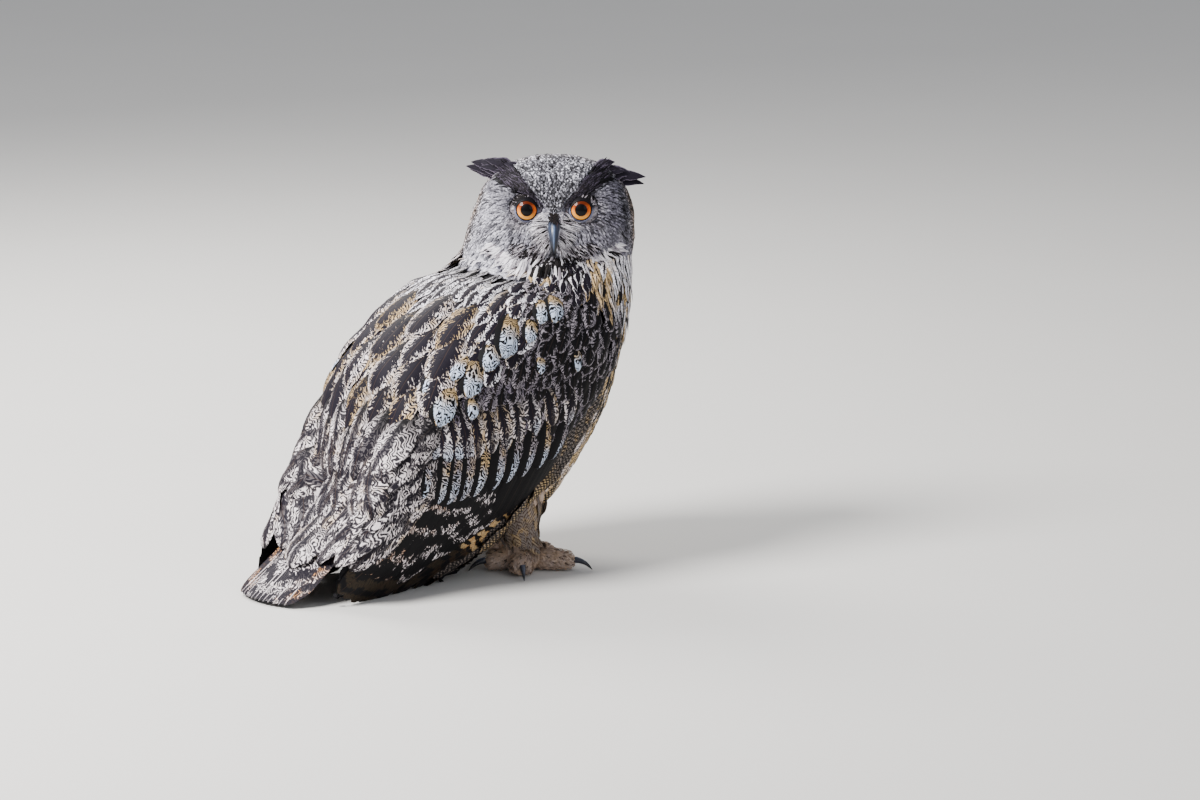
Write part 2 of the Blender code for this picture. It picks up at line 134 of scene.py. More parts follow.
def makeCamera(settings):
    down = math.radians(settings["down"])
    look = unit((*settings["heading"], 0.0)) * math.cos(down) - np.array((0, 0, math.sin(down)))
    right = unit(np.cross(look, (0, 0, 1)))
    aim = eyesMiddle + right * settings["eyesLeft"] - np.cross(right, look) * settings["eyesUp"]
    camera = linked("camera", bpy.data.cameras.new("camera"))
    camera.data.sensor_width = settings["sensor"]
    camera.data.lens = settings["sensor"] * settings["distance"] / settings["fieldWidth"]
    camera.location = aim - look * settings["distance"]
    camera.rotation_euler = Vector(look).to_track_quat("-Z", "Y").to_euler()
    bpy.context.scene.camera = camera
    return look, right


look, viewRight = makeCamera(cameraSettings)


# Guides: grids of points that the feathers follow


def bvhOf(names):  # and which node each of its faces is of
    corners, faces, owners = [], [], []
    for name in names:
        mesh = nodes[name].data
        start = len(corners)
        corners += [vertex.co.copy() for vertex in mesh.vertices]
        faces += [[start + i for i in polygon.vertices] for polygon in mesh.polygons]
        owners += [name] * len(mesh.polygons)
    return BVHTree.FromPolygons(corners, faces), owners


def curveThrough(points, t):  # Catmull-Rom, t from 0 to 1
    points = np.asarray(points, float)
    last = len(points) - 1
    at = np.clip(np.asarray(t, float), 0, 1) * last
    i = np.minimum(at.astype(int), last - 1)
    f = (at - i)[..., None]
    before, first, second, after = (points[np.clip(i + k, 0, last)] for k in (-1, 0, 1, 2))
    slopeIn, slopeOut = (second - before) / 2, (after - first) / 2
    return (
        first * (2 * f**3 - 3 * f**2 + 1)
        + slopeIn * (f**3 - 2 * f**2 + f)
        + second * (3 * f**2 - 2 * f**3)
        + slopeOut * (f**3 - f**2)
    )


def blurred(grid, amount, axis, wraps=False):
    reach = int(3 * amount) + 1
    weights = np.exp(-0.5 * (np.arange(-reach, reach + 1) / amount) ** 2)
    weights /= weights.sum()
    pad = [(0, 0)] * grid.ndim
    pad[axis] = (reach, reach)
    padded = np.pad(grid, pad, mode="wrap" if wraps else "edge")
    return sum(weight * np.take(padded, range(k, k + grid.shape[axis]), axis=axis) for k, weight in enumerate(weights))


def filled(grid):  # spreads its values over the places that are not a number
    known = (~np.isnan(grid)).astype(float)
    grid = np.nan_to_num(grid)
    while (known == 0).any():
        total, count = np.zeros_like(grid), np.zeros_like(grid)
        for shift, axis in ((1, 0), (-1, 0), (1, 1), (-1, 1)):
            moved, seen = np.roll(grid * known, shift, axis), np.roll(known, shift, axis)
            if axis == 0:
                edge = 0 if shift == 1 else -1
                moved[edge], seen[edge] = 0, 0
            total, count = total + moved, count + seen
        fresh = (known == 0) & (count > 0)
        grid[fresh] = total[fresh] / count[fresh]
        known[fresh] = 1
    return grid


class Guide:  # a smooth sheet over (row, turn), both from 0 to 1, closed round in turn
    def __init__(self, points, centres):
        self.points = points
        rows, turns = points.shape[:2]
        self.alongRow = np.gradient(points, 1.0 / (rows - 1), axis=0)
        wrapped = np.concatenate([points[:, -1:], points, points[:, :1]], axis=1)
        self.alongTurn = np.gradient(wrapped, 1.0 / turns, axis=1)[:, 1:-1]
        normals = unit(np.cross(self.alongRow, self.alongTurn))
        outwards = np.sign(np.sum(normals * (points - centres[:, None, :]), axis=-1, keepdims=True))
        self.normals = normals * np.where(outwards == 0, 1, outwards)

    def read(self, field, place):
        rows, turns = field.shape[:2]
        r = np.clip(place[..., 0], 0, 1) * (rows - 1)
        c = (place[..., 1] % 1.0) * turns
        r0 = np.minimum(r.astype(int), rows - 2)
        c0 = c.astype(int) % turns
        c1 = (c0 + 1) % turns
        fr, fc = (r - r0)[..., None], (c - c.astype(int))[..., None]
        return between(between(field[r0, c0], field[r0, c1], fc), between(field[r0 + 1, c0], field[r0 + 1, c1], fc), fr)

    def normal(self, place):
        return unit(self.read(self.normals, place))

    def lifted(self, place, heights):  # points at heights in mm over it
        return self.read(self.points, place) + self.normal(place) * (heights * mm)[..., None]

    def step(self, place, direction, distance):  # moves places by a distance along a direction in space
        a, b = self.read(self.alongRow, place), self.read(self.alongTurn, place)
        move = alongSurface(direction, self.normal(place)) * distance[..., None]
        aa, bb, ab, am, bm = (np.sum(p * q, axis=-1) for p, q in ((a, a), (b, b), (a, b), (a, move), (b, move)))
        determinant = np.maximum(aa * bb - ab * ab, 1e-12)
        return place + columns(bb * am - ab * bm, aa * bm - ab * am) / determinant[..., None]


def makeGuide(settings, centres, directions):  # from rays cast inwards onto the nodes
    tree, _ = bvhOf(settings["nodes"])
    radii, reach = np.zeros(directions.shape[:2]), settings["reach"]
    for i, j in np.ndindex(radii.shape):
        outwards = directions[i, j]
        distance = tree.ray_cast(Vector(centres[i] + outwards * reach), Vector(-outwards), reach)[3]
        radii[i, j] = np.nan if distance is None else reach - distance
    radii = blurred(blurred(filled(radii), settings["blur"], 1, True), settings["blur"], 0)
    return Guide(centres[:, None] + directions * radii[..., None], centres)


bodySettings = {
    "nodes": ("trunk", "neck", "tail", "wing_right", "wing_left"),
    "rows": 120,
    "turns": 200,
    "blur": 1.4,
    "reach": 0.45,
    # centre line from between the wing tips to the head, in shares of the trunk's box
    "axis": (
        (1.190, -0.097), (0.908, 0.208), (0.730, 0.350), (0.529, 0.499), (0.345, 0.641),
        (0.232, 0.782), (0.173, 0.909), (0.143, 1.021), (0.137, 1.132),
    ),
}


def makeBodyGuide(settings):
    low, high = boxOf("trunk")
    line = [(0.0, *(low + (high - low) * (0, *shares))[1:]) for shares in settings["axis"]]
    t = np.linspace(0, 1, settings["rows"])
    along = unit(curveThrough(line, np.minimum(t + 0.01, 1)) - curveThrough(line, np.maximum(t - 0.01, 0)))
    dorsal = columns(0.0, along[:, 2], -along[:, 1])
    angles = (math.tau * np.arange(settings["turns"]) / settings["turns"])[:, None]
    directions = dorsal[:, None] * np.cos(angles) + np.array((-1.0, 0, 0)) * np.sin(angles)
    return makeGuide(settings, curveThrough(line, t), directions)


bodyGuide = makeBodyGuide(bodySettings)
print("guide over the body made")

headGuideSettings = {
    "nodes": ("head", "neck", "trunk"),
    "rows": 110,
    "turns": 220,
    "blur": 1.6,
    "reach": 0.30,
    "lowest": -62.0,  # latitude in degrees
}


def makeHeadGuide(settings):
    latitudes = np.radians(np.linspace(90.0, settings["lowest"], settings["rows"]))[:, None, None]
    turns = np.radians(np.linspace(0.0, 360.0, settings["turns"], endpoint=False))[:, None]
    level = np.cos(turns) * headFace + np.sin(turns) * headRight
    directions = np.cos(latitudes) * level + np.sin(latitudes) * headTop
    return makeGuide(settings, np.tile(headCentre, (settings["rows"], 1)), directions)


headGuide = makeHeadGuide(headGuideSettings)
print("guide over the head made")

# Vanes: every feather is a thin closed blade along a line of points

shapes = {  # root width, where it is widest, where the tip starts to round off, how round and how blunt it is
    "round": (0.45, 0.40, 0.62, 2.0, 0.55),
    "long": (0.40, 0.35, 0.80, 2.0, 0.60),
    "pointed": (0.45, 0.35, 0.40, 1.6, 0.95),
    "hair": (0.80, 0.25, 0.20, 1.3, 1.10),
}


def stationsFor(count):  # shares of the length, closer together near the tip
    return 1.0 - (1.0 - np.linspace(0.0, 1.0, count + 1)) ** 1.45


def outline(share, shape):
    root, widest, start, power, blunt = shapes[shape]
    past = np.clip((share - start) / (1.0 - start), 0.0, 1.0)
    return (root + (1 - root) * smoothStep(share, 0.0, widest)) * (1.0 - past**power) ** blunt


def ringFaces(rings, around, closed=False):  # quads between rings of points; closed: the last joins the first
    grid = np.indices((rings if closed else rings - 1, around)).reshape(2, -1)
    ring, point = grid * ((around,), (1,))
    after, beside = (grid[0] + 1) % rings * around, (grid[1] + 1) % around
    return np.stack([ring + point, ring + beside, after + beside, after + point], axis=1)


def endFaces(rings, around):  # triangles to the two end points, which follow the rings
    point = np.arange(around)
    beside, last = (point + 1) % around, (rings - 1) * around
    first = np.stack([beside, point, np.full(around, rings * around)], axis=1)
    return np.concatenate([first, np.stack([last + point, last + beside, first[:, 2] + 1], axis=1)])


def meshFrom(name, vertices, faces, places, material):
    mesh = bpy.data.meshes.new(name)
    corners = np.concatenate([block.ravel() for block in faces]).astype(np.int32)
    sizes = np.concatenate([np.full(len(block), block.shape[1]) for block in faces])
    mesh.vertices.add(len(vertices))
    mesh.vertices.foreach_set("co", np.asarray(vertices, np.float32).ravel())
    mesh.loops.add(len(corners))
    mesh.loops.foreach_set("vertex_index", corners)
    mesh.polygons.add(len(sizes))
    mesh.polygons.foreach_set("loop_start", np.concatenate([[0], np.cumsum(sizes)[:-1]]).astype(np.int32))
    if places is not None:
        layer = mesh.uv_layers.new(name="OFBake")
        layer.data.foreach_set("uv", np.asarray(places, np.float32)[corners].ravel())
    mesh.update(calc_edges=True)
    mesh.validate()
    mesh.polygons.foreach_set("use_smooth", np.ones(len(mesh.polygons), bool))
    mesh.materials.append(material)
    return linked(name, mesh)


def keep(mesh, **fields):  # numbers or vectors for each point, which the material reads
    for name, values in fields.items():
        values = np.asarray(values, np.float32)
        kind, key = ("FLOAT", "value") if values.ndim == 1 else ("FLOAT_VECTOR", "vector")
        mesh.attributes.new(name, kind, "POINT").data.foreach_set(key, values.ravel())


def finished(piece, slot, *replaced):
    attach(piece, "root")
    if replaced:
        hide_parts(*replaced)
    print(piece.name, "made:", len(piece.data.polygons), "faces")
    return piece


class Plumes:  # vanes gathered for one piece
    sharpAngle = math.radians(60)
    lowest = 0.4 * mm  # over the floor

    def __init__(self, name, slot, look, seed, across=5):
        self.name, self.slot, self.look, self.across = name, slot, look, across
        self.random = np.random.default_rng(seed)
        self.quads, self.ends, self.points, self.uv, self.fields = [], [], [], [], []
        self.total = 0

    def add(
        self, lines, normals, widths, shape, marks, homes, patch,
        thick=0.6, dome=0.10, rag=0.10, roll=0.05, tilt=0.0, signs=1.0, patchLong=1.0,
    ):
        # lines and normals: feathers x stations x 3, in metres; widths and thick in mm; marks: streak, warm, pale
        # dome, roll and tilt as shares of the width; a positive tilt lifts the web nearer to the back
        # signs: 1 where x grows towards the back, -1 where it grows away from it
        count, stations = lines.shape[:2]
        shares = stationsFor(stations - 1)
        draw = self.random
        ahead = unit(np.gradient(lines, axis=1))
        side = unit(np.cross(ahead, normals))
        over = unit(np.cross(side, ahead))
        x = np.linspace(-1, 1, self.across)
        ringX = np.concatenate([x, x[-2:0:-1]])
        onTop = np.arange(len(ringX)) < self.across
        half = np.maximum(widths[:, None] * mm / 2 * outline(shares, shape), 0.00005)[..., None]
        ragged = 1 - rag * draw.random((count, stations, len(ringX))) ** 2 * (np.abs(ringX) > 0.99)
        signs = np.broadcast_to(np.asarray(signs, float), (count,))[:, None, None]
        tilt = roll * draw.normal(size=(count, 1, 1)) + tilt * signs
        seeds = draw.random(count)
        length = np.linalg.norm(np.diff(lines, axis=1), axis=-1).sum(axis=1)
        xs = ringX * ragged
        body = thick * mm * (1 - ringX**2) * (1 - 0.6 * shares[None, :, None])
        height = half * (dome * 2 * (1 - xs**2) + tilt * xs) + body * (onTop - 0.5)
        spread = lines[:, :, None] + side[:, :, None] * (xs * half)[..., None] + over[:, :, None] * height[..., None]
        rings, ring = stations - 1, len(ringX)  # the last station becomes the tip's single point
        each = rings * ring + 2
        inner = spread[:, :-1].reshape(count, -1, 3)
        points = np.concatenate([inner, spread[:, :1].mean(axis=2), lines[:, -1:]], axis=1)
        vane = np.zeros((count, each, 3))
        vane[:, :-2, 0] = np.repeat(shares[:-1], ring)
        vane[:, :-2, 1] = np.tile(ringX, rings) * signs[:, 0]
        vane[:, -1, 0] = 1.0
        starts = self.total + np.arange(count)[:, None, None] * each
        for faces, made in ((self.quads, ringFaces(rings, ring)), (self.ends, endFaces(rings, ring))):
            faces.append((made + starts).reshape(-1, made.shape[1])[:, ::-1])
        self.points.append(points.reshape(-1, 3))
        marks = columns(*(np.broadcast_to(mark, count) for mark in marks))
        size = columns(length / mm, widths / 2, 0.0)
        self.fields.append((vane.reshape(-1, 3), *(np.repeat(values, each, axis=0) for values in (seeds, size, marks))))
        uv = homes[:, None, :] + columns(vane[..., 1] * 0.5, (vane[..., 0] - 0.5) * patchLong) * patch
        self.uv.append(uv.reshape(-1, 2))
        self.total += count * each

    def build(self, *replaced):
        points = np.concatenate(self.points)
        points[:, 2] = np.maximum(points[:, 2], self.lowest)
        faces = [np.concatenate(self.quads), np.concatenate(self.ends)]
        piece = meshFrom(self.name, points, faces, np.concatenate(self.uv), looks[self.look])
        vane, seed, size, mark = (np.concatenate(values) for values in zip(*self.fields))
        keep(piece.data, vane=vane, seed=seed, size=size, mark=mark)
        piece.data.set_sharp_from_angle(angle=self.sharpAngle)
        return finished(piece, self.slot, *replaced)


def walk(guide, roots, lie, lengths, count):
    places, direction = [roots], lie
    for step in np.diff(stationsFor(count)):
        places.append(guide.step(places[-1], direction, lengths * step))
        direction = alongSurface(direction, guide.normal(places[-1]))
    return np.stack(places, axis=1)


def rootsOver(guide, tract, rows, turns, draw):
    # staggered rows; rows in shares of the guide, turns in degrees of the right side, along and across in mm
    jitter, samples = 0.18, 80
    along, across = tract["along"] * mm, tract["across"] * mm
    turns = np.radians(np.linspace(*turns, samples)) / math.tau
    row, found = rows[0], []
    while row < rows[1]:
        line = guide.read(guide.points, columns(row, turns))
        steps = np.concatenate([[0], np.cumsum(np.linalg.norm(np.diff(line, axis=0), axis=-1))])
        count = max(int(steps[-1] / across), 1)
        at = (np.arange(count) + (0.25 if len(found) % 2 else 0.75)) / count * steps[-1]
        at = at + draw.uniform(-jitter, jitter, count) * across
        here = row + draw.uniform(-jitter, jitter, count) * along * 1.2
        found.append(columns(here, np.interp(at, steps, turns)))
        row += along / max(np.linalg.norm(guide.read(guide.alongRow, np.array([row, turns[samples // 2]]))), 0.05)
    return np.concatenate(found)


# Materials


class Shade:  # a shader socket that can be worked with as a number
    def __init__(self, tree, socket=None):
        self.tree, self.socket = tree, socket

    def node(self, kind, settings=None, inputs=None, output=0):
        made = self.tree.nodes.new(kind)
        for name, value in (settings or {}).items():
            setattr(made, name, value)
        for name, value in (inputs or {}).items():
            if isinstance(value, Shade):
                self.tree.links.new(value.socket, made.inputs[name])
            elif value is not None:
                made.inputs[name].default_value = value
        return Shade(self.tree, made.outputs[output] if len(made.outputs) else None)

    def maths(self, operation, *values):
        return self.node("ShaderNodeMath", {"operation": operation}, dict(enumerate(values)))

    def __add__(self, other):
        return self.maths("ADD", self, other)

    def __sub__(self, other):
        return self.maths("SUBTRACT", self, other)

    def __rsub__(self, other):
        return self.maths("SUBTRACT", other, self)

    def __mul__(self, other):
        return self.maths("MULTIPLY", self, other)

    def __truediv__(self, other):
        return self.maths("DIVIDE", self, other)

    def __rtruediv__(self, other):
        return self.maths("DIVIDE", other, self)

    __radd__, __rmul__ = __add__, __mul__


def srgb(red, green, blue):  # 0 to 255, as a colour picker shows it, to linear
    return tuple(((c / 255 + 0.055) / 1.055) ** 2.4 if c > 10 else c / 255 / 12.92 for c in (red, green, blue))


def parts(vector):
    split = vector.node("ShaderNodeSeparateXYZ", None, {0: vector})
    return [Shade(vector.tree, output) for output in split.socket.node.outputs]


def joined(x, y, z):
    shade = next(value for value in (x, y, z) if isinstance(value, Shade))
    return shade.node("ShaderNodeCombineXYZ", None, {0: x, 1: y, 2: z})


def smooth(value, low, high):
    ends = {"Value": value, "From Min": low, "From Max": high}
    return value.node("ShaderNodeMapRange", {"interpolation_type": "SMOOTHSTEP"}, ends)


def zigzag(phase):  # 1 at each whole number and 0 halfway between two
    wave = phase.maths("FRACT", phase) - 0.5
    return wave.maths("ABSOLUTE", wave) * 2


def blended(blend, factor, first, second):
    first, second = ((*c, 1.0) if isinstance(c, tuple) else c for c in (first, second))
    shade = next(value for value in (factor, second) if isinstance(value, Shade))
    return shade.node("ShaderNodeMix", {"data_type": "RGBA", "blend_type": blend}, {0: factor, 6: first, 7: second}, 2)


def mixed(factor, first, second):
    return blended("MIX", factor, first, second)


def tinted(colour, amount):  # colour brightened or darkened by a number
    grey = amount.node("ShaderNodeCombineColor", None, {0: amount, 1: amount, 2: amount})
    return blended("MULTIPLY", 1.0, colour, grey)


def noise(vector, scale=1.0, detail=2.0, roughness=0.5):
    inputs = {"Vector": vector, "Scale": scale, "Detail": detail, "Roughness": roughness}
    return vector.node("ShaderNodeTexNoise", None, inputs)


def stretched(vector, factors):
    return vector.node("ShaderNodeVectorMath", {"operation": "MULTIPLY"}, {0: vector, 1: factors})


def attribute(shade, name, output="Vector"):
    return shade.node("ShaderNodeAttribute", {"attribute_name": name}, None, output)


def placeOn(shade):
    return shade.node("ShaderNodeTexCoord", None, None, "Object")


def bumped(height, depth, strength=1.0):
    return height.node("ShaderNodeBump", None, {"Height": height, "Distance": depth, "Strength": strength})


def newMaterial(name):
    material = bpy.data.materials.new(name)
    material.use_nodes = True
    material.node_tree.nodes.clear()
    return material, Shade(material.node_tree)


def surfaced(shade, colour, rough=0.6, normal=None, **constants):
    inputs = {"Base Color": colour, "Roughness": rough, "Normal": normal}
    inputs.update({name.replace("_", " "): value for name, value in constants.items()})
    surface = shade.node("ShaderNodeBsdfPrincipled", None, inputs)
    shade.node("ShaderNodeOutputMaterial", None, {"Surface": surface})


colours = {
    "white": srgb(252, 248, 255),
    "cream": srgb(238, 228, 230),
    "buff": srgb(198, 168, 122),
    "orange": srgb(184, 128, 70),
    "grey": srgb(150, 142, 150),
    "drab": srgb(122, 112, 106),
    "umber": srgb(58, 42, 34),
    "slate": srgb(84, 76, 92),
    "violet": srgb(20, 16, 26),
    "black": srgb(9, 8, 11),
    "blueWhite": srgb(206, 220, 244),
}

plainLook = {
    "ground": "cream",
    "warm": "buff",
    "dark": "violet",
    "lean": 0.9,  # how far a barb runs on towards the tip for each mm that it runs out
    "lines": (4.8, 3.2, 0.42, 0.95),  # fine wavy cross lines: spacing in mm, waviness, dark share, strength
    # dark middle: half width at the root and at its fullest, from where to where it widens,
    # from where it narrows to the tip, how frayed it is, strength
    "streak": (0.18, 0.50, 0.35, 0.75, 0.84, 0.55, 1.0),
    "bars": (14.0, 0.45, 0.10, 0.30, 0.0),  # spacing in mm, dark share, slant, raggedness, strength
    "spot": (0.74, 0.0, 0.24, 0.42),  # pale: where along and across, how long and wide
    "tip": (0.9, 0.0),  # from where the tip is dark, and how much
    "inner": (0.2, 0.0),  # from where across the web nearer to the back is dark, and how much
    "edge": (0.86, "cream", 0.35),
    "shaft": (0.035, "umber", 0.5),
    "under": 0.55,  # how dark the covered root half is: partly the feather's own dark grey base, partly painted shade where the feathers overlap
    "shine": 0.62,
}


def featherMaterial(name, **changes):
    look = {**plainLook, **changes}
    dark, black = colours[look["dark"]], colours["black"]
    material, shade = newMaterial(name)
    u, x, _ = parts(attribute(shade, "vane"))
    length, half, _ = parts(attribute(shade, "size"))
    streakMark, warmMark, paleMark = parts(attribute(shade, "mark"))
    seed = attribute(shade, "seed", "Fac")
    along, aside = u * length, x * half
    out = x.maths("ABSOLUTE", x)
    barb = along - out * half * look["lean"]
    place = joined(aside, along, seed * 173.0)
    cloud = noise(stretched(place, (0.14, 0.08, 1.0)), 1.0, 2.0) - 0.5
    breaks = noise(stretched(place, (0.42, 0.36, 1.0)), 1.0, 2.0, 0.6) - 0.5
    fray = noise(joined(barb * 0.48, aside * 0.10, seed * 57.0), 1.0, 4.0, 0.7) - 0.5
    colour = mixed(smooth(warmMark + cloud * 1.3, 0.15, 0.85), colours[look["ground"]], colours[look["warm"]])

    spotAt, spotAside, spotLong, spotWide = look["spot"]
    dx, du = (x - spotAside) / spotWide, (u - spotAt) / spotLong
    spot = smooth(dx * dx + du * du + fray * 0.35, 1.05, 0.80) * paleMark
    colour = mixed(spot * smooth(du + cloud, -1.1, 0.1), colour, colours["blueWhite"])

    spacing, waviness, share, strength = look["lines"]
    kink = noise(stretched(place, (0.13, 0.10, 1.0)), 1.0, 1.0) - 0.5
    wave = zigzag(barb / spacing + kink * waviness * 1.5 + cloud + seed * 7.0)
    lines = smooth(wave + breaks * 0.4, 0.90 - share, 1.10 - share) * smooth(breaks + cloud * 0.4, -0.20, -0.10)
    colour = mixed(lines * strength, colour, dark)

    spacing, share, slant, ragged, strength = look["bars"]
    if strength:
        wave = zigzag(along / spacing + out * slant + (fray * 0.7 + cloud) * ragged + seed * 0.5)
        bars = smooth(wave + breaks * 0.5, 1 - share - 0.07, 1 - share + 0.07)
        colour = mixed(bars * strength, colour, dark)

    rootWide, fullWide, widens, fullest, narrows, ragged, strength = look["streak"]
    if strength:
        wide = smooth(u, widens, fullest) * (fullWide - rootWide) + rootWide
        wide = wide * streakMark * (1 - smooth(u, narrows, narrows + 0.14))
        streak = smooth(wide - out + fray * ragged + cloud * 0.15, -0.05, 0.06) * smooth(streakMark, 0.02, 0.12)
        colour = mixed(streak * (1 - spot) * strength, colour, dark)

    start, strength = look["inner"]
    if strength:
        colour = mixed(smooth(x + fray * 0.15, start, start + 0.10) * strength, colour, black)
    start, strength = look["tip"]
    if strength:
        colour = mixed(smooth(u + fray * 0.25, start, start + 0.08) * strength, colour, black)
    start, edge, strength = look["edge"]
    rim = out.maths("MAXIMUM", out, u * u * u)
    colour = mixed(smooth(rim + fray * 0.25, start, start + 0.08) * strength, colour, colours[edge])
    wide, tone, strength = look["shaft"]
    shaft = smooth(out, wide, wide * 0.4)
    colour = mixed(shaft * strength, colour, colours[tone])

    barbs = noise(joined(barb * 0.95, aside * 0.12, seed * 91.0), 1.0, 3.0, 0.7)
    tone = barbs * 0.62 + 0.70 + (seed - 0.5) * 0.16
    # the covered root half is darkened: partly the feather's own dark base, partly painted shade between overlapping
    # feathers
    tone = tone * (smooth(u, 0.12, 0.60) * look["under"] + (1 - look["under"]))
    normal = bumped(barbs * 0.6 + shaft * 0.5, 0.0007, 0.6)
    surfaced(shade, tinted(colour, tone), look["shine"], normal, Specular_IOR_Level=0.12)
    return material


noStreak = (0.0, 0.0, 0.0, 1.0, 1.0, 0.0, 0.0)

looks = {
    "mantle": featherMaterial(
        "mantle feathers", ground="white",
        lines=(5.0, 3.4, 0.46, 1.0), streak=(0.24, 0.44, 0.15, 0.60, 0.90, 1.8, 1.0), edge=(0.95, "white", 0.3),
    ),
    "longScapular": featherMaterial(
        "long scapulars",
        lines=(4.8, 3.4, 0.56, 1.0), streak=(0.24, 0.42, 0.15, 0.60, 0.86, 2.2, 1.0), edge=(0.94, "cream", 0.4),
    ),
    # its black inner web is partly the web's own dark colour and partly painted shadow cast by the neighbouring feather
    "spotted": featherMaterial(
        "spotted scapulars", ground="buff", warm="cream", dark="black",
        lines=(5.4, 3.6, 0.48, 1.0), spot=(0.72, -0.20, 0.36, 0.86), streak=noStreak, inner=(0.50, 1.0),
        edge=(0.90, "black", 0.9), under=0.65,
    ),
    # rump lobes: the black rim is painted shadow in the gaps between the lobes, and the strong under setting paints
    # shade over their covered roots
    "rump": featherMaterial(
        "rump feathers",
        lines=(5.4, 3.4, 0.60, 0.97), streak=(0.20, 0.28, 0.25, 0.7, 0.97, 0.5, 0.9), shaft=(0.06, "violet", 0.8),
        edge=(0.91, "black", 0.95), under=0.9,
    ),
    "lesser": featherMaterial(
        "lesser coverts", ground="grey", warm="slate", dark="black",
        lines=(4.4, 3.4, 0.52, 0.97), streak=(0.38, 0.56, 0.2, 0.55, 0.84, 2.4, 1.0), edge=(0.93, "black", 0.8),
    ),
    "median": featherMaterial(
        "median coverts",
        lines=(4.8, 3.4, 0.60, 0.97), streak=(0.34, 0.42, 0.3, 0.7, 1.0, 1.0, 1.0), spot=(0.80, -0.35, 0.26, 0.50),
        edge=(0.95, "black", 0.3), under=0.75,
    ),
    "greater": featherMaterial(
        "greater coverts", ground="buff", warm="grey", dark="black",
        lines=(5.0, 3.4, 0.62, 1.0), streak=noStreak, inner=(-0.10, 1.0), spot=(0.80, -0.40, 0.28, 0.60),
        edge=(0.96, "black", 0.9), shaft=(0.10, "black", 0.95), under=0.8,
    ),
    "secondary": featherMaterial(
        "secondaries", warm="orange", dark="black",
        lines=(4.8, 3.4, 0.68, 0.97), bars=(28.0, 0.78, 0.4, 0.9, 1.0), streak=noStreak,
        edge=(0.97, "umber", 0.5), shaft=(0.07, "black", 0.9), under=0.2, shine=0.55,
    ),
    "primary": featherMaterial(
        "primaries", ground="buff", warm="orange", dark="black",
        lines=(4.2, 2.0, 0.20, 0.8), bars=(19.0, 0.46, 0.35, 0.55, 1.0), streak=noStreak, tip=(0.58, 0.96),
        edge=(0.97, "umber", 0.4), shaft=(0.05, "umber", 0.6), under=0.2, shine=0.5,
    ),
    "alula": featherMaterial(
        "primary coverts", ground="black", warm="umber", dark="black",
        lines=(3.0, 1.0, 0.4, 0.6), streak=(0.95, 1.1, 0.0, 0.3, 1.0, 0.2, 1.0),
        edge=(0.97, "umber", 0.3), shaft=(0.04, "umber", 0.3),
    ),
    # tertial lobes: the black rim is painted shadow in the gaps between the lobes, and the strong under setting paints
    # shade over their covered roots
    "tertial": featherMaterial(
        "tertials",
        lines=(5.4, 3.4, 0.58, 0.97), streak=(0.22, 0.30, 0.2, 0.7, 0.97, 0.5, 0.9),
        bars=(30.0, 0.34, 0.6, 1.2, 0.9), edge=(0.91, "black", 0.95), under=0.85,
    ),
    "tail": featherMaterial(
        "tail feathers", warm="orange",
        lines=(5.0, 3.4, 0.74, 0.97), bars=(30.0, 0.54, 0.4, 1.1, 0.97), streak=noStreak,
        edge=(0.94, "black", 0.9), shaft=(0.05, "cream", 0.8), under=0.2,
    ),
    "breast": featherMaterial(
        "breast feathers", ground="buff", warm="cream", dark="black",
        lines=(4.2, 1.4, 0.36, 0.85), streak=(0.10, 0.34, 0.2, 0.7, 0.92, 0.8, 1.0), edge=(0.94, "cream", 0.3),
    ),
    # belly and flank: the drab ground with dense black bars is partly the flank's own grey-buff barring, partly painted
    # shade on the flank
    "belly": featherMaterial(
        "belly feathers", ground="drab", dark="black",
        lines=(4.2, 0.8, 0.50, 0.95), streak=(0.04, 0.09, 0.2, 0.7, 0.9, 0.2, 0.8),
        bars=(4.6, 0.50, 0.4, 0.5, 0.85), edge=(0.95, "grey", 0.3),
    ),
    "thigh": featherMaterial(
        "thigh feathers", ground="drab", dark="umber",
        lines=(4.0, 0.8, 0.40, 0.8), streak=(0.04, 0.08, 0.2, 0.7, 0.9, 0.2, 0.5), edge=(0.92, "buff", 0.3),
    ),
    "nape": featherMaterial(
        "nape feathers",
        lines=(4.2, 2.6, 0.46, 0.95), streak=(0.24, 0.60, 0.3, 0.72, 0.92, 1.3, 1.0), edge=(0.9, "cream", 0.4),
    ),
    "neck": featherMaterial(
        "collar feathers", ground="white",
        lines=(4.2, 2.4, 0.26, 0.7), streak=(0.14, 0.42, 0.3, 0.75, 0.94, 1.0, 1.0), edge=(0.94, "white", 0.4),
    ),
    "tuft": featherMaterial(
        "ear tuft feathers", ground="slate", warm="umber",
        lines=(4.0, 1.0, 0.3, 0.4), streak=(0.7, 0.80, 0.2, 0.6, 0.96, 0.5, 0.94),
        edge=(0.94, "grey", 0.8), shaft=(0.05, "black", 0.6), under=0.4,
    ),
    "brow": featherMaterial(
        "brow feathers", ground="black", warm="slate", dark="black",
        lines=(3.0, 1.0, 0.3, 0.5), streak=(0.9, 1.0, 0.1, 0.6, 1.0, 0.4, 0.9), edge=(0.86, "slate", 0.9), under=0.2,
    ),
    "bristle": featherMaterial(
        "bristles", ground="white", warm="grey", dark="black",
        lines=(3.0, 1.0, 0.1, 0.3), streak=(1.0, 1.3, 0.1, 0.6, 1.0, 0.5, 1.0),
        edge=(0.9, "cream", 0.1), shaft=(0.3, "umber", 0.25), under=0.2,
    ),
}


# Body coat. Places on the body's guide are (row from the wing tips to the head, degrees from the middle of the back)


def coverTurn(rows, degrees):  # how far feathers turn from tailwards to downwards
    return 55 * smoothStep(degrees, 15, 95) * (1 - smoothStep(rows, 0.38, 0.72)) * (1 - smoothStep(degrees, 115, 132))


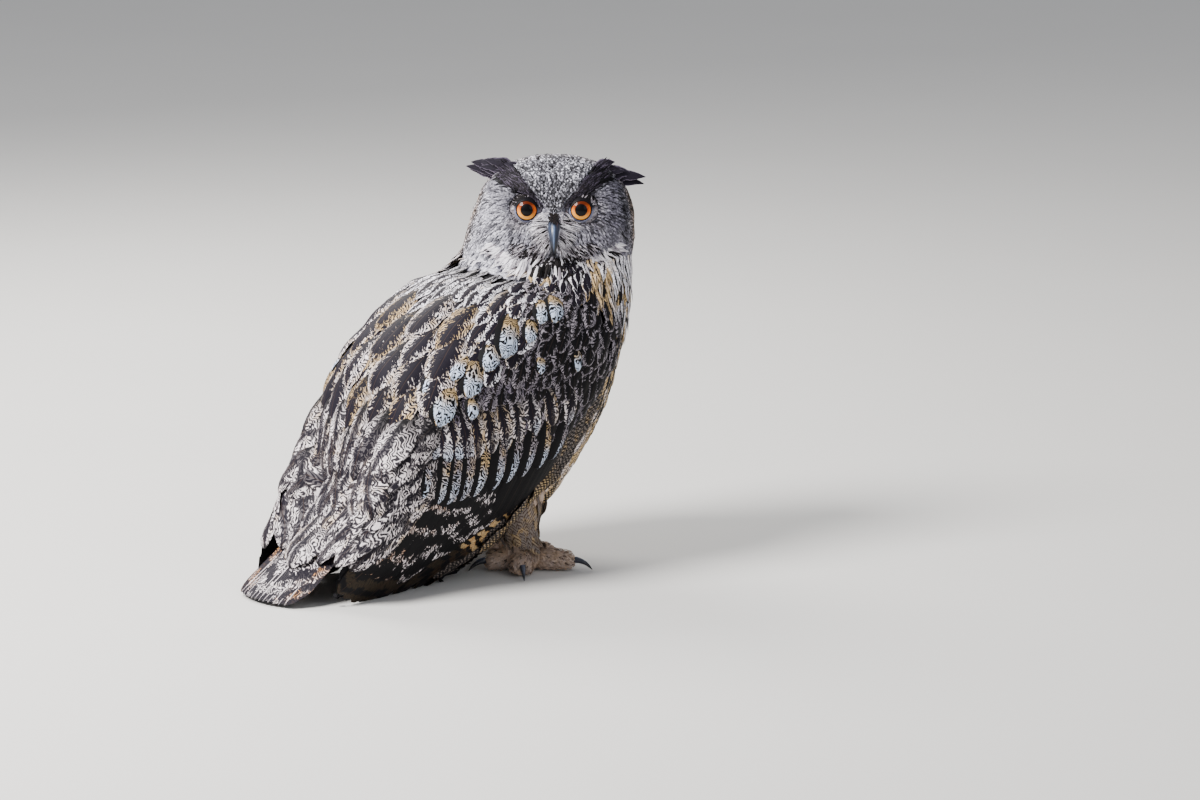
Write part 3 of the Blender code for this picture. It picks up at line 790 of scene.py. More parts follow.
def acrossWing(row, line):  # degrees at which a line crosses a row
    return np.interp(row, *np.array(line).T)


def lieOn(guide, places, turns, signs):  # towards the tail, turned by degrees down the side it is on
    back = -unit(guide.read(guide.alongRow, places))
    aside = alongSurface(unit(guide.read(guide.alongTurn, places)) * signs[:, None], back)
    angle = np.radians(turns)[:, None]
    return unit(back * np.cos(angle) + aside * np.sin(angle))


def unevenHeights(tract, count, draw):  # mm over the guide, from root to tip
    shares = stationsFor(tract["stations"])
    return between(*tract["lay"], shares**0.8) + tract["uneven"] * draw.normal(size=(count, 1)) * shares


def addVanes(plumes, tract, guide, places, heights, widths, marks, signs=1.0):
    names = ("patch", "thick", "dome", "rag", "roll", "tilt", "patchLong")
    options = {name: tract[name] for name in names if name in tract}
    lines, normals = guide.lifted(places, heights), guide.normal(places)
    homes = columns(places[:, 0, 1] % 1.0, places[:, 0, 0])
    plumes.add(lines, normals, widths, tract["shape"], marks, homes, signs=signs, **options)


bodyDefaults = {
    "shape": "round",
    "stations": 9,
    "stray": 5.0,  # degrees
    "uneven": 0.35,  # mm
    "patch": 0.012,
    "thick": 0.5,
    "dome": 0.13,
    "rag": 0.22,
    "roll": 0.08,
}


def bodyTract(plumes, tract):  # rows of feathers on both sides
    tract = {**bodyDefaults, **tract}
    draw = plumes.random
    right = rootsOver(bodyGuide, tract, tract["rows"], tract["turns"], draw)
    if "wanted" in tract:
        right = right[tract["wanted"](right[:, 0], right[:, 1] * 360.0)]
    roots = np.concatenate([right, right * (1, -1)])
    count, signs = len(roots), np.repeat((1.0, -1.0), len(right))
    rows, degrees = roots[:, 0], np.abs((roots[:, 1] * 360 + 180) % 360 - 180)
    turns = coverTurn(rows, degrees) + draw.normal(size=count) * tract["stray"]
    scale = tract["scale"](rows, degrees) if "scale" in tract else 1.0
    scale = scale * (1 + draw.uniform(-0.12, 0.12, count))
    lie = lieOn(bodyGuide, roots, turns, signs)
    places = walk(bodyGuide, roots, lie, tract["length"] * mm * scale, tract["stations"])
    heights = unevenHeights(tract, count, draw)
    marks = tract["marks"](rows, degrees, lambda low, high: draw.uniform(low, high, count))
    addVanes(plumes, tract, bodyGuide, places, heights, tract["width"] * scale, marks, signs)


rowDefaults = {
    "shape": "round",
    "stations": 12,
    "pile": 0.0,  # mm of height between the first and the last
    "patch": 0.012,
    "thick": 0.7,
    "dome": 0.07,
    "rag": 0.06,
    "roll": 0.03,
    "patchLong": 1.5,
}


def wingRow(plumes, row):  # one row of feathers on each wing, between a line of roots and a line of tips
    row = {**rowDefaults, **row}
    draw, count, shares = plumes.random, row["count"], stationsFor(row["stations"])
    order = (np.arange(count) + 0.5) / count
    roots, tips = (curveThrough(row[line], order) / (1, 360) for line in ("roots", "tips"))
    for sign in sideSigns.values():
        ends = tips + draw.uniform(-1, 1, tips.shape) * (0.004, 0.8 / 360)
        places = between(roots[:, None], ends[:, None], shares[:, None]) * (1, sign)
        heights = between(*row["lay"], shares**0.8) + (order - 0.5)[:, None] * row["pile"]
        marks = row["marks"](order, lambda low, high: draw.uniform(low, high, count))
        addVanes(plumes, row, bodyGuide, places, heights, between(*row["width"], order), marks, sign)


givenDefaults = {
    "shape": "round",
    "stations": 12,
    "uneven": 0.4,
    "pale": 0.0,
    "patch": 0.016,
    "thick": 0.7,
    "dome": 0.16,
    "rag": 0.12,
    "roll": 0.06,
    "patchLong": 1.6,
}


def feathersAt(plumes, group):  # feathers whose tips are given one by one for the right side: row, degrees, size
    group = {**givenDefaults, **group}
    tips = np.array([(row, degrees / 360.0) for row, degrees, *_ in group["tips"]])
    sizes = np.array([(*tip, 1.0)[2] for tip in group["tips"]])
    draw, count = plumes.random, len(tips)
    turns = coverTurn(tips[:, 0], tips[:, 1] * 360)
    for sign in sideSigns.values():
        ends, signs = tips * (1.0, sign), np.full(count, sign)
        lengths = group["length"] * mm * sizes * (1 + draw.uniform(-0.06, 0.06, count))
        roots = walk(bodyGuide, ends, -lieOn(bodyGuide, ends, turns, signs), lengths, 8)[:, -1]
        places = walk(bodyGuide, roots, lieOn(bodyGuide, roots, turns, signs), lengths, group["stations"])
        heights = unevenHeights(group, count, draw)
        marks = (draw.uniform(*group["streak"], count), draw.uniform(*group["warm"], count), group["pale"])
        widths = group["width"] * sizes * (1 + draw.uniform(-0.08, 0.08, count))
        addVanes(plumes, group, bodyGuide, places, heights, widths, marks, signs)


def dress(name, slot, look, seed, *tracts, across=5):
    plumes = Plumes(name, slot, look, seed, across)
    for layOut, settings in tracts:
        layOut(plumes, settings)
    plumes.build()


# In each tract below, marks gives how streaked, how warm and how pale a feather is; pick draws evenly between two

dress("mantle_feathers", "plumage", "mantle", 11, (bodyTract, {
    "rows": (0.22, 0.84), "turns": (0.0, 36.0), "along": 15.5, "across": 16.0, "length": 50.0, "width": 22.0,
    "lay": (-4.0, 3.0), "shape": "pointed", "rag": 0.35, "patch": 0.014, "stray": 7.0, "uneven": 0.8,
    "scale": lambda rows, degrees: 1.0 - 0.40 * smoothStep(rows, 0.55, 0.82),
    "marks": lambda rows, degrees, pick: (
        pick(0.55, 1.1) * (1 - 0.55 * smoothStep(rows, 0.70, 0.80) * (1 - smoothStep(degrees, 20, 40))),
        0.12 + 0.45 * (1 - smoothStep(rows, 0.30, 0.50)) + pick(-0.1, 0.25),
        0.0,
    ),
}))
dress("rump_feathers", "plumage", "rump", 12, (bodyTract, {
    "rows": (0.075, 0.24), "turns": (0.0, 50.0), "along": 25.0, "across": 28.0, "length": 74.0, "width": 41.0,
    "lay": (-3.5, 4.6), "rag": 0.2, "patch": 0.014, "stations": 10, "dome": 0.28, "uneven": 0.8,
    "marks": lambda rows, degrees, pick: (pick(0.5, 1.3), 0.15 + pick(-0.1, 0.3), 0.0),
}))

# Scapulars over the wing's upper edge: short dark ones, long streaked ones and those with a pale oval
dress("scapular_feathers", "plumage", "mantle", 13, (bodyTract, {
    "rows": (0.30, 0.76), "turns": (32.0, 56.0), "along": 15.0, "across": 16.5, "length": 44.0, "width": 22.0,
    "lay": (-2.5, 3.2), "rag": 0.35, "patch": 0.014, "uneven": 0.7,
    "scale": lambda rows, degrees: 1.0 - 0.30 * smoothStep(rows, 0.55, 0.74),
    "wanted": lambda rows, degrees: degrees < 56 - 20 * smoothStep(0.40 - rows, 0.0, 0.15),
    "marks": lambda rows, degrees, pick: (pick(0.8, 1.6), 0.15 + pick(-0.1, 0.4), 0.0),
}))
dress("long_scapulars", "plumage", "longScapular", 24, (feathersAt, {
    "tips": (
        (0.150, 2), (0.158, 22), (0.168, 40), (0.205, 12), (0.215, 31), (0.212, 50),
        (0.262, 2), (0.268, 22), (0.270, 40), (0.318, 12), (0.325, 31),
    ),
    "length": 78.0, "width": 38.0, "lay": (-3.0, 4.6), "streak": (0.9, 1.6), "warm": (0.30, 0.85),
}), across=7)
dress("spotted_scapulars", "plumage", "spotted", 25, (feathersAt, {
    "tips": (
        (0.437, 58, 0.65), (0.521, 58, 0.85), (0.479, 54, 0.75), (0.345, 56, 0.80), (0.420, 74, 0.5), (0.387, 56, 1.12),
        (0.487, 86, 0.5), (0.294, 59, 0.92), (0.294, 48, 0.85), (0.277, 69, 0.6), (0.244, 44, 0.8), (0.218, 59, 1.05),
    ),
    "length": 54.0, "width": 29.0, "lay": (-2.0, 5.8), "streak": (0.0, 0.0), "warm": (-0.2, 0.4), "pale": 1.0,
}), across=7)

# Wing coverts
coverTips = (
    (0.085, 66), (0.092, 81), (0.112, 92), (0.135, 99), (0.158, 104), (0.188, 107),
    (0.220, 109), (0.254, 112), (0.288, 115), (0.322, 118), (0.356, 121), (0.395, 123),
)
coverRoots = (
    (0.170, 36), (0.195, 43), (0.212, 51), (0.240, 57), (0.262, 64), (0.285, 70),
    (0.315, 75), (0.350, 80), (0.385, 87), (0.415, 92), (0.470, 101),
)
middleTips = (
    (0.132, 56), (0.151, 65), (0.172, 74), (0.195, 82), (0.228, 87),
    (0.262, 91), (0.300, 95), (0.338, 98), (0.395, 102), (0.437, 111),
)
middleRoots = (
    (0.185, 36), (0.205, 42), (0.222, 47), (0.250, 52), (0.275, 57),
    (0.305, 63), (0.335, 68), (0.375, 73), (0.420, 79), (0.495, 94),
)
dress("lesser_coverts", "plumage", "lesser", 14, (bodyTract, {
    "rows": (0.24, 0.78), "turns": (44.0, 118.0), "along": 11.5, "across": 14.0, "length": 31.0, "width": 18.5,
    "lay": (-1.8, 2.2), "rag": 0.35, "patch": 0.010, "stations": 7, "uneven": 0.6, "stray": 9.0,
    "wanted": lambda rows, degrees: (
        (degrees < acrossWing(rows - 0.055, middleTips)) & (rows < 0.80 - 0.0010 * (degrees - 60))
    ),
    "marks": lambda rows, degrees, pick: (
        0.60 + 0.55 * smoothStep(degrees, 50, 90) * smoothStep(rows, 0.3, 0.5) + pick(-0.5, 0.3),
        pick(0.0, 0.8) * (1 - 0.6 * smoothStep(rows, 0.40, 0.55)),
        0.0,
    ),
}))
dress("median_coverts", "plumage", "median", 15, (wingRow, {
    "roots": middleRoots, "tips": middleTips, "count": 14, "width": (30.0, 21.0), "lay": (-1.0, 3.2), "rag": 0.15,
    "dome": 0.16, "tilt": -0.10, "roll": 0.06,
    "marks": lambda order, pick: (pick(0.7, 1.4), pick(0.0, 0.6), pick(0.0, 0.9)),
}), across=7)
dress("greater_coverts", "plumage", "greater", 16, (wingRow, {
    "roots": coverRoots, "tips": coverTips, "count": 12, "width": (32.0, 23.0), "lay": (-1.5, 2.6), "dome": 0.17,
    "tilt": -0.12,
    "marks": lambda order, pick: (1.0, pick(0.2, 0.9), pick(0.45, 0.95)),
}), across=7)

# Flight feathers: the inner ones lie over the outer ones
dress("secondaries", "flight", "secondary", 17, (wingRow, {
    "roots": (
        (0.36, 116), (0.33, 112), (0.30, 108), (0.28, 104), (0.26, 100), (0.24, 96), (0.22, 91), (0.20, 86), (0.17, 80),
    ),
    "tips": (
        (0.200, 134), (0.160, 136), (0.125, 137), (0.095, 137), (0.075, 134),
        (0.060, 130), (0.052, 120), (0.046, 108), (0.040, 96),
    ),
    "count": 11, "width": (24.0, 36.0), "lay": (-0.6, 0.6), "pile": 2.4,
    "shape": "long", "stations": 18, "patch": 0.03, "patchLong": 3.0, "roll": 0.02, "tilt": -0.08, "dome": 0.10,
    "marks": lambda order, pick: (1.0, -0.1 + 0.7 * order**2, 0.0),
}), across=7)
dress("primaries", "flight", "primary", 18, (wingRow, {
    "roots": (
        (0.375, 140), (0.36, 137), (0.345, 133), (0.33, 129), (0.315, 124), (0.30, 120), (0.285, 115), (0.27, 110),
    ),
    "tips": ((0.150, 157), (0.105, 155), (0.068, 149), (0.042, 138), (0.022, 126), (0.008, 114), (0.0, 104), (0.0, 92)),
    "count": 9, "width": (20.0, 30.0), "lay": (-1.6, -0.6), "pile": 1.6,
    "shape": "long", "stations": 20, "patch": 0.03, "patchLong": 4.0, "roll": 0.02, "tilt": -0.08, "dome": 0.09,
    "marks": lambda order, pick: (1.0, 0.5 - 0.4 * order, 0.0),
}), across=7)
dress("primary_coverts", "flight", "alula", 19, (wingRow, {
    "roots": ((0.335, 103), (0.37, 108), (0.40, 112), (0.425, 116), (0.45, 119)),
    "tips": ((0.235, 128), (0.262, 134), (0.290, 137), (0.318, 138), (0.345, 137)),
    "count": 7, "width": (24.0, 22.0), "lay": (-1.0, 1.6),
    "marks": lambda order, pick: (1.0, 0.0, 0.0),
}), across=7)
dress("tertials", "flight", "tertial", 20, (wingRow, {
    "roots": ((0.20, 80), (0.225, 72), (0.25, 64), (0.275, 54)),
    "tips": ((0.050, 98), (0.034, 88), (0.026, 76), (0.034, 62)),
    "count": 5, "width": (38.0, 40.0), "lay": (0.6, 2.4), "pile": 2.5,
    "shape": "long", "stations": 18, "patch": 0.03, "patchLong": 2.5, "rag": 0.10, "dome": 0.12, "tilt": -0.06,
    "marks": lambda order, pick: (1.0, pick(0.0, 0.5), 0.0),
}), (feathersAt, {
    "tips": (
        (0.068, 60), (0.085, 80), (0.070, 40), (0.066, 22), (0.064, 6), (0.101, 52), (0.108, 66), (0.112, 34),
        (0.106, 16),
    ),
    "length": 84.0, "width": 39.0, "lay": (-1.0, 6.0), "streak": (0.6, 1.2), "warm": (0.0, 0.4), "dome": 0.26,
}), across=7)

# Breast, belly and flanks
wingEdge = (
    (0.10, 150), (0.20, 148), (0.30, 138), (0.40, 122), (0.50, 114), (0.60, 110), (0.66, 106), (0.71, 98), (0.76, 84),
)
breastEdge = ((0.40, 180), (0.44, 142), (0.60, 122))
dress("breast_feathers", "plumage", "breast", 21, (bodyTract, {
    "rows": (0.40, 0.86), "turns": (84.0, 180.0), "along": 12.5, "across": 12.5, "length": 36.0, "width": 16.0,
    "lay": (-4.0, 1.6), "rag": 0.3, "stations": 8,
    "wanted": lambda rows, degrees: degrees > acrossWing(rows, wingEdge) + 24 * (1 - smoothStep(rows, 0.52, 0.62)),
    "marks": lambda rows, degrees, pick: (
        0.35 + 0.9 * smoothStep(rows, 0.45, 0.62) + pick(-0.15, 0.15), pick(0.0, 0.6), 0.0,
    ),
}))
dress("belly_feathers", "plumage", "belly", 22, (bodyTract, {
    "rows": (0.14, 0.60), "turns": (108.0, 180.0), "along": 13.0, "across": 13.0, "length": 38.0, "width": 17.0,
    "lay": (-4.0, 1.2), "rag": 0.3, "stations": 8,
    "wanted": lambda rows, degrees: (degrees > acrossWing(rows, wingEdge)) & (degrees < acrossWing(rows, breastEdge)),
    "marks": lambda rows, degrees, pick: (pick(0.3, 1.0), pick(-0.2, 0.5), 0.0),
}), (feathersAt, {
    "tips": (
        (0.190, 143), (0.205, 152), (0.225, 160), (0.218, 140), (0.240, 148), (0.255, 157),
        (0.262, 138), (0.280, 146), (0.290, 154), (0.310, 138), (0.320, 148),
    ),
    "length": 60.0, "width": 25.0, "lay": (-4.0, 6.0), "streak": (0.3, 1.0), "warm": (0.2, 0.8), "rag": 0.4,
}))

# Skin: one closed surface under the coat

skinSettings = {
    "nodes": ("trunk", "neck", "head", "leg_right", "leg_left", "foot_right", "foot_left", "wing_right", "wing_left"),
    "voxel": 3.2,  # mm
    "easing": 4,
    "depths": {"trunk": 5.5, "neck": 5.0, "head": 2.6, "leg": 2.6, "foot": 1.6, "wing": 4.0},  # mm of coat over it
    "deepest": 0.36,  # share of the thickness there
}


def meshOfNodes(name, names):
    shell = bmesh.new()
    for node in names:
        shell.from_mesh(nodes[node].data)
    bmesh.ops.remove_doubles(shell, verts=shell.verts, dist=0.01 * mm)
    piece = linked(name, bpy.data.meshes.new(name))
    shell.to_mesh(piece.data)
    shell.free()
    return piece


def settled(piece):  # the piece's modifiers worked into a plain mesh
    graph = bpy.context.evaluated_depsgraph_get()
    evaluated = piece.evaluated_get(graph)
    mesh = bpy.data.meshes.new_from_object(evaluated, preserve_all_data_layers=True, depsgraph=graph)
    old = piece.data
    piece.modifiers.clear()
    piece.data = mesh
    bpy.data.meshes.remove(old)


def outwardFaces(piece):
    shell = bmesh.new()
    shell.from_mesh(piece.data)
    bmesh.ops.recalc_face_normals(shell, faces=shell.faces)
    if shell.calc_volume(signed=True) < 0:
        bmesh.ops.reverse_faces(shell, faces=shell.faces)
    shell.to_mesh(piece.data)
    shell.free()


def vectorsOf(owners, key):
    found = np.zeros(len(owners) * 3, np.float32)
    owners.foreach_get(key, found)
    return found.reshape(-1, 3).astype(float)


def pointsOf(mesh):
    return vectorsOf(mesh.vertices, "co")


def normalsOf(mesh):
    return vectorsOf(mesh.vertex_normals, "vector")


def movePoints(mesh, points, lowest):  # lowest: mm over the floor
    points[:, 2] = np.maximum(points[:, 2], lowest * mm)
    mesh.vertices.foreach_set("co", points.astype(np.float32).ravel())


def makeFlesh(settings):
    flesh = meshOfNodes("flesh", settings["nodes"])
    remesh = flesh.modifiers.new("remesh", "REMESH")
    remesh.mode, remesh.voxel_size, remesh.use_smooth_shade = "VOXEL", settings["voxel"] * mm, True
    easing = flesh.modifiers.new("easing", "SMOOTH")
    easing.factor, easing.iterations = 0.5, settings["easing"]
    settled(flesh)
    return flesh


flesh = makeFlesh(skinSettings)
fleshPoints, fleshNormals = pointsOf(flesh.data), normalsOf(flesh.data)
fleshTree = BVHTree.FromPolygons(fleshPoints.tolist(), [tuple(face.vertices) for face in flesh.data.polygons])
ownerTree, ownerNames = bvhOf(skinSettings["nodes"])
fleshOwners = np.array([ownerNames[ownerTree.find_nearest(Vector(point))[2]].split("_")[0] for point in fleshPoints])
print("flesh made:", len(fleshPoints), "points")


# Markings of the head, in mm right and up of the point between the eyes
browLine = np.array(((9, 1), (16, 8), (27, 13), (36, 17), (45, 22), (57, 27), (69, 33)), float).T  # its lower edge
eyeAside = 27


def foreheadFrom(across):  # height at which the forehead's wedge begins
    return np.clip(-12.4 + 1.42 * across, -5, 47)


def browShare(across, up):  # how far a place lies inside the dark brow
    inside = smoothStep(up - np.interp(across, *browLine), -2.5, 1.0)
    inside = inside * (1 - smoothStep(up - foreheadFrom(across), -4.0, 0.5))
    return inside * smoothStep(across, 8, 12) * (1 - smoothStep(across, 58, 72))


def headMarks(points):  # dark, warm and white shares, and how flecked it is
    ahead, right, up = onHead(points)
    across = np.abs(right)

    def patch(place, reach, aside=across):
        return np.exp(-(((aside - place[0]) / reach[0]) ** 2) - ((up - place[1]) / reach[1]) ** 2)

    eye = np.hypot(across - eyeAside, up)
    front = smoothStep(ahead, 8, 28)
    crown = smoothStep(up, 28, 42)
    under = smoothStep(-up, 20, 60)
    forehead = smoothStep(up - foreheadFrom(across), 0, 4) * smoothStep(ahead, -30, -5)
    blot = np.sin(0.60 * right + 1.4 * np.sin(0.33 * ahead)) * np.sin(0.52 * ahead + 1.2 * np.sin(0.41 * right))
    # a thin dark rim runs down behind the cheek, stronger on the bird's left side, with a paler, flecked strip beyond
    # it
    turn = np.degrees(np.arctan2(across, ahead))
    level = smoothStep(up, -52, -30) * (1 - smoothStep(up, 12, 24))
    rim = np.exp(-(((turn - 64) / 4.5) ** 2)) * level * (0.45 + 0.55 * smoothStep(-right, -10, 10))
    beyond = smoothStep(turn, 66, 74) * level

    dark = 0.95 * browShare(across, up) + 0.8 * (1 - smoothStep(eye, 11.0, 12.6)) * smoothStep(up, -3, 6)
    dark = dark + 0.95 * patch((0, -11), (3.6, 5)) + 0.60 * patch((0, -58), (24, 10)) + 0.26 * patch((44, 8), (9, 14))
    # the face is made a little darker on the bird's left side: painted shade
    dark = 0.20 + front * (dark + 0.07 * smoothStep(-right, 15, 60))
    dark = dark + 0.55 * crown * smoothStep(blot, 0.15, 0.5) + 0.42 * rim
    warm = 0.03 + 0.25 * (1 - front) + front * 0.16 * patch((42, -14), (14, 10)) + 0.32 * beyond
    # less white on the bird's left side: painted shade
    white = 0.9 * patch((15, -20), (11, 8)) + 0.5 * patch((10, -44), (20, 8)) - 0.04 * smoothStep(-right, 10, 60)
    white = 0.26 + front * (white + 0.40 * under * smoothStep(right, 10, 60)) + 0.25 * (1 - front) * under
    white = white + 0.30 * patch((68, -14), (26, 40), right) + 0.30 * forehead
    white = white + 0.5 * crown * smoothStep(-blot, 0.1, 0.5) + 0.28 * beyond
    fleck = 0.62 + 0.5 * forehead + 0.35 * (1 - front) + 0.5 * beyond
    fleck = fleck * (1 - 0.9 * front * (1 - smoothStep(eye, 12, 16))) * (1 - 0.8 * front * patch((15, -20), (10, 8)))
    return np.clip(columns(dark, warm, white), 0, 1), np.clip(fleck, 0, 1)


def skinMarks(points):
    marks, fleck = headMarks(points)
    onBody, onLegs = np.isin(fleshOwners, ("trunk", "wing")), np.isin(fleshOwners, ("leg", "foot"))
    # the body's skin is dark, so that where it shows between feathers it is painted shade
    marks[onBody], fleck[onBody] = (0.85, 0.2, 0.1), 0.5
    marks[onLegs], fleck[onLegs] = (0.12, 0.58, 0.48), 0.12
    return marks, fleck


def downMaterial(name, hair=True):  # face, crown, legs and skin share it, so that their markings agree
    material, shade = newMaterial(name)
    dark, warm, white = parts(attribute(shade, "mark"))
    fleckShare = attribute(shade, "fleck", "Fac")
    place = placeOn(shade)
    broad = noise(place, 70.0, 2.0) - 0.5
    coarse = noise(place, 190.0, 1.0) - 0.5
    grain = noise(place, 430.0, 2.0, 0.6)
    colour = mixed(smooth(white + broad * 0.6 + coarse * 0.5, 0.0, 1.0), srgb(112, 108, 122), srgb(244, 243, 255))
    colour = mixed(smooth(warm + broad * 0.5, 0.05, 0.95), colour, srgb(190, 152, 104))
    specks = smooth(grain + fleckShare * 0.13 + coarse * 0.18, 0.54, 0.60) * fleckShare
    colour = mixed(specks * 0.9, colour, colours["black"])
    colour = mixed(smooth(dark + (grain - 0.5) * 0.5 + coarse * 0.3, 0.30, 0.80), colour, colours["black"])
    height = grain
    if hair:
        u, x, _ = parts(attribute(shade, "vane"))
        seed = attribute(shade, "seed", "Fac")
        height = noise(joined(x * 2.2, u * 0.8, seed * 61.0), 1.0, 2.0)
        colour = mixed(smooth(seed + fleckShare * 0.12, 0.88, 0.93) * 0.75, colour, colours["black"])
        colour = tinted(colour, height * 0.6 + (seed - 0.5) * 0.40 + u * 0.30 + 0.56)
    surfaced(shade, colour, 0.7, bumped(height, 0.0004, 0.5), Specular_IOR_Level=0.12)
    return material


looks["skin"] = downMaterial("skin", hair=False)
looks["face"] = downMaterial("face feathers")
looks["down"] = downMaterial("leg down")


def makeSkin(settings):
    skin = linked("skin", flesh.data.copy())
    skin.data.name = "skin"
    moved = fleshPoints.copy()
    for i, (point, normal, owner) in enumerate(zip(fleshPoints, fleshNormals, fleshOwners)):
        inwards = Vector(-normal)
        thickness = fleshTree.ray_cast(Vector(point) + inwards * 0.3 * mm, inwards, 0.05)[3] or 0.05
        moved[i] = point - normal * min(settings["depths"][owner] * mm, settings["deepest"] * thickness)
    movePoints(skin.data, moved, 0.5)
    marks, fleck = skinMarks(fleshPoints)
    keep(skin.data, mark=marks, fleck=fleck)
    skin.data.materials.clear()
    skin.data.materials.append(looks["skin"])
    skin.data.update()
    finished(skin, "plumage", *settings["nodes"])


makeSkin(skinSettings)


# Small tufts, strewn by Geometry Nodes over parts of the flesh

tuftSettings = {"stations": (0.0, 0.35, 0.72, 1.0), "heights": (-1.0, 0.25, 0.35, 0.05), "thick": 0.16}


def makeTuft(settings):  # one unit long along +X and one wide, closed
    shares, heights = np.array(settings["stations"]), settings["heights"]
    x, lifts = np.array((-1.0, 0.0, 1.0, 0.0)), (0.0, 1.0, 0.0, -0.4)
    points = []
    for share, half, height in zip(shares[:-1], outline(shares, "hair") / 2, heights):
        points += [(share, side * half, height + settings["thick"] * lift) for side, lift in zip(x, lifts)]
    points += [(shares[0], 0.0, heights[0]), (1.0, 0.0, heights[-1])]
    rings, around = len(shares) - 1, len(x)
    tuft = meshFrom("tuft", points, [ringFaces(rings, around), endFaces(rings, around)], None, looks["face"])
    vane = np.zeros((len(points), 3))
    vane[:-2, 0], vane[:-2, 1] = np.repeat(shares[:-1], around), np.tile(x, rings)
    vane[-1, 0] = 1.0
    keep(tuft.data, vane=vane)
    outwardFaces(tuft)
    return tuft


def coatTree(tuft):
    tree = bpy.data.node_groups.new("strewn tufts", "GeometryNodeTree")
    kinds = {
        "Surface": "Geometry", "Spacing": "Float", "Density": "Float", "Stray": "Float", "Uneven": "Float",
        "Patch": "Float", "Seed": "Int", "Material": "Material",
    }
    for name, kind in kinds.items():
        tree.interface.new_socket(name, in_out="INPUT", socket_type="NodeSocket" + kind)
    tree.interface.new_socket("Coat", in_out="OUTPUT", socket_type="NodeSocketGeometry")
    start = tree.nodes.new("NodeGroupInput")
    shade = Shade(tree)
    given = {socket.name: Shade(tree, socket) for socket in start.outputs if socket.name}

    def named(name):
        return shade.node("GeometryNodeInputNamedAttribute", {"data_type": "FLOAT_VECTOR"}, {"Name": name})

    def stored(geometry, name, value, kind="FLOAT", domain="POINT"):
        inputs = {"Geometry": geometry, "Name": name, "Value": value}
        return shade.node("GeometryNodeStoreNamedAttribute", {"data_type": kind, "domain": domain}, inputs)

    def chance(low, high, extra):
        inputs = {2: low, 3: high, "Seed": given["Seed"] + extra}
        return shade.node("FunctionNodeRandomValue", {"data_type": "FLOAT"}, inputs, 1)

    def scaled(vector, factor):
        return shade.node("ShaderNodeVectorMath", {"operation": "SCALE"}, {0: vector, "Scale": factor})

    spread = shade.node("GeometryNodeDistributePointsOnFaces", {"distribute_method": "POISSON"}, {
        "Mesh": given["Surface"], "Distance Min": given["Spacing"], "Density Max": given["Density"],
        "Seed": given["Seed"],
    })
    normal = Shade(tree, spread.socket.node.outputs["Normal"])
    points = stored(spread, "seed", chance(0.0, 1.0, 1))
    turn = shade.node("ShaderNodeVectorRotate", {"rotation_type": "AXIS_ANGLE"}, {
        "Vector": named("lie"), "Axis": normal, "Angle": chance(-1.0, 1.0, 2) * given["Stray"],
    })
    rotation = shade.node(
        "FunctionNodeAxesToRotation", {"primary_axis": "Z", "secondary_axis": "X"}, {0: normal, 1: turn},
    )
    size = scaled(named("tuft"), chance(-1.0, 1.0, 3) * given["Uneven"] + 1.0)
    blade = shade.node("GeometryNodeObjectInfo", None, {"Object": tuft}, "Geometry")
    instances = shade.node("GeometryNodeInstanceOnPoints", None, {
        "Points": points, "Instance": blade, "Rotation": rotation, "Scale": size,
    })
    real = shade.node("GeometryNodeRealizeInstances", None, {"Geometry": instances})
    along, across, _ = parts(named("vane"))
    offset = scaled(joined(across * 0.5, along - 0.5, 0.0), given["Patch"])
    home = shade.node("ShaderNodeVectorMath", {"operation": "ADD"}, {0: named("home"), 1: offset})
    mapped = stored(real, "OFBake", home, "FLOAT2", "CORNER")
    coat = shade.node("GeometryNodeSetMaterial", None, {"Geometry": mapped, "Material": given["Material"]})
    tree.links.new(coat.socket, tree.nodes.new("NodeGroupOutput").inputs["Coat"])
    return tree


tuftObject = makeTuft(tuftSettings)
strewTree = coatTree(tuftObject)


def strewn(name, slot, material, wanted, lie, sizes, homes, settings):
    # wanted: which points of the flesh carry it; sizes: length, width and lift of each in metres
    surface = bmesh.new()
    surface.from_mesh(flesh.data)
    surface.verts.ensure_lookup_table()
    bmesh.ops.delete(surface, geom=[surface.verts[i] for i in np.nonzero(~wanted)[0]], context="VERTS")
    piece = linked(name, bpy.data.meshes.new(name))
    surface.to_mesh(piece.data)
    surface.free()
    marks, fleck = skinMarks(fleshPoints + alongSurface(lie, fleshNormals) * sizes[:, :1] * 0.6)
    fields = {"lie": lie, "tuft": sizes, "home": homes, "mark": marks, "fleck": fleck}
    keep(piece.data, **{key: values[wanted] for key, values in fields.items()})
    modifier = piece.modifiers.new("strewn tufts", "NODES")
    modifier.node_group = strewTree
    inputs = {item.name: item.identifier for item in strewTree.interface.items_tree if item.in_out == "INPUT"}
    for key, value in {"Patch": 0.003, "Material": looks[material], **settings}.items():
        modifier[inputs[key]] = value
    settled(piece)
    piece.name = piece.data.name = name
    for key in ("lie", "tuft", "home"):
        if key in piece.data.attributes:
            piece.data.attributes.remove(piece.data.attributes[key])
    piece.data.set_sharp_from_angle(angle=math.radians(70))
    movePoints(piece.data, pointsOf(piece.data), 0.3)
    finished(piece, slot)


def sizesOf(length, width, lift):
    return columns(length, width, lift) * mm


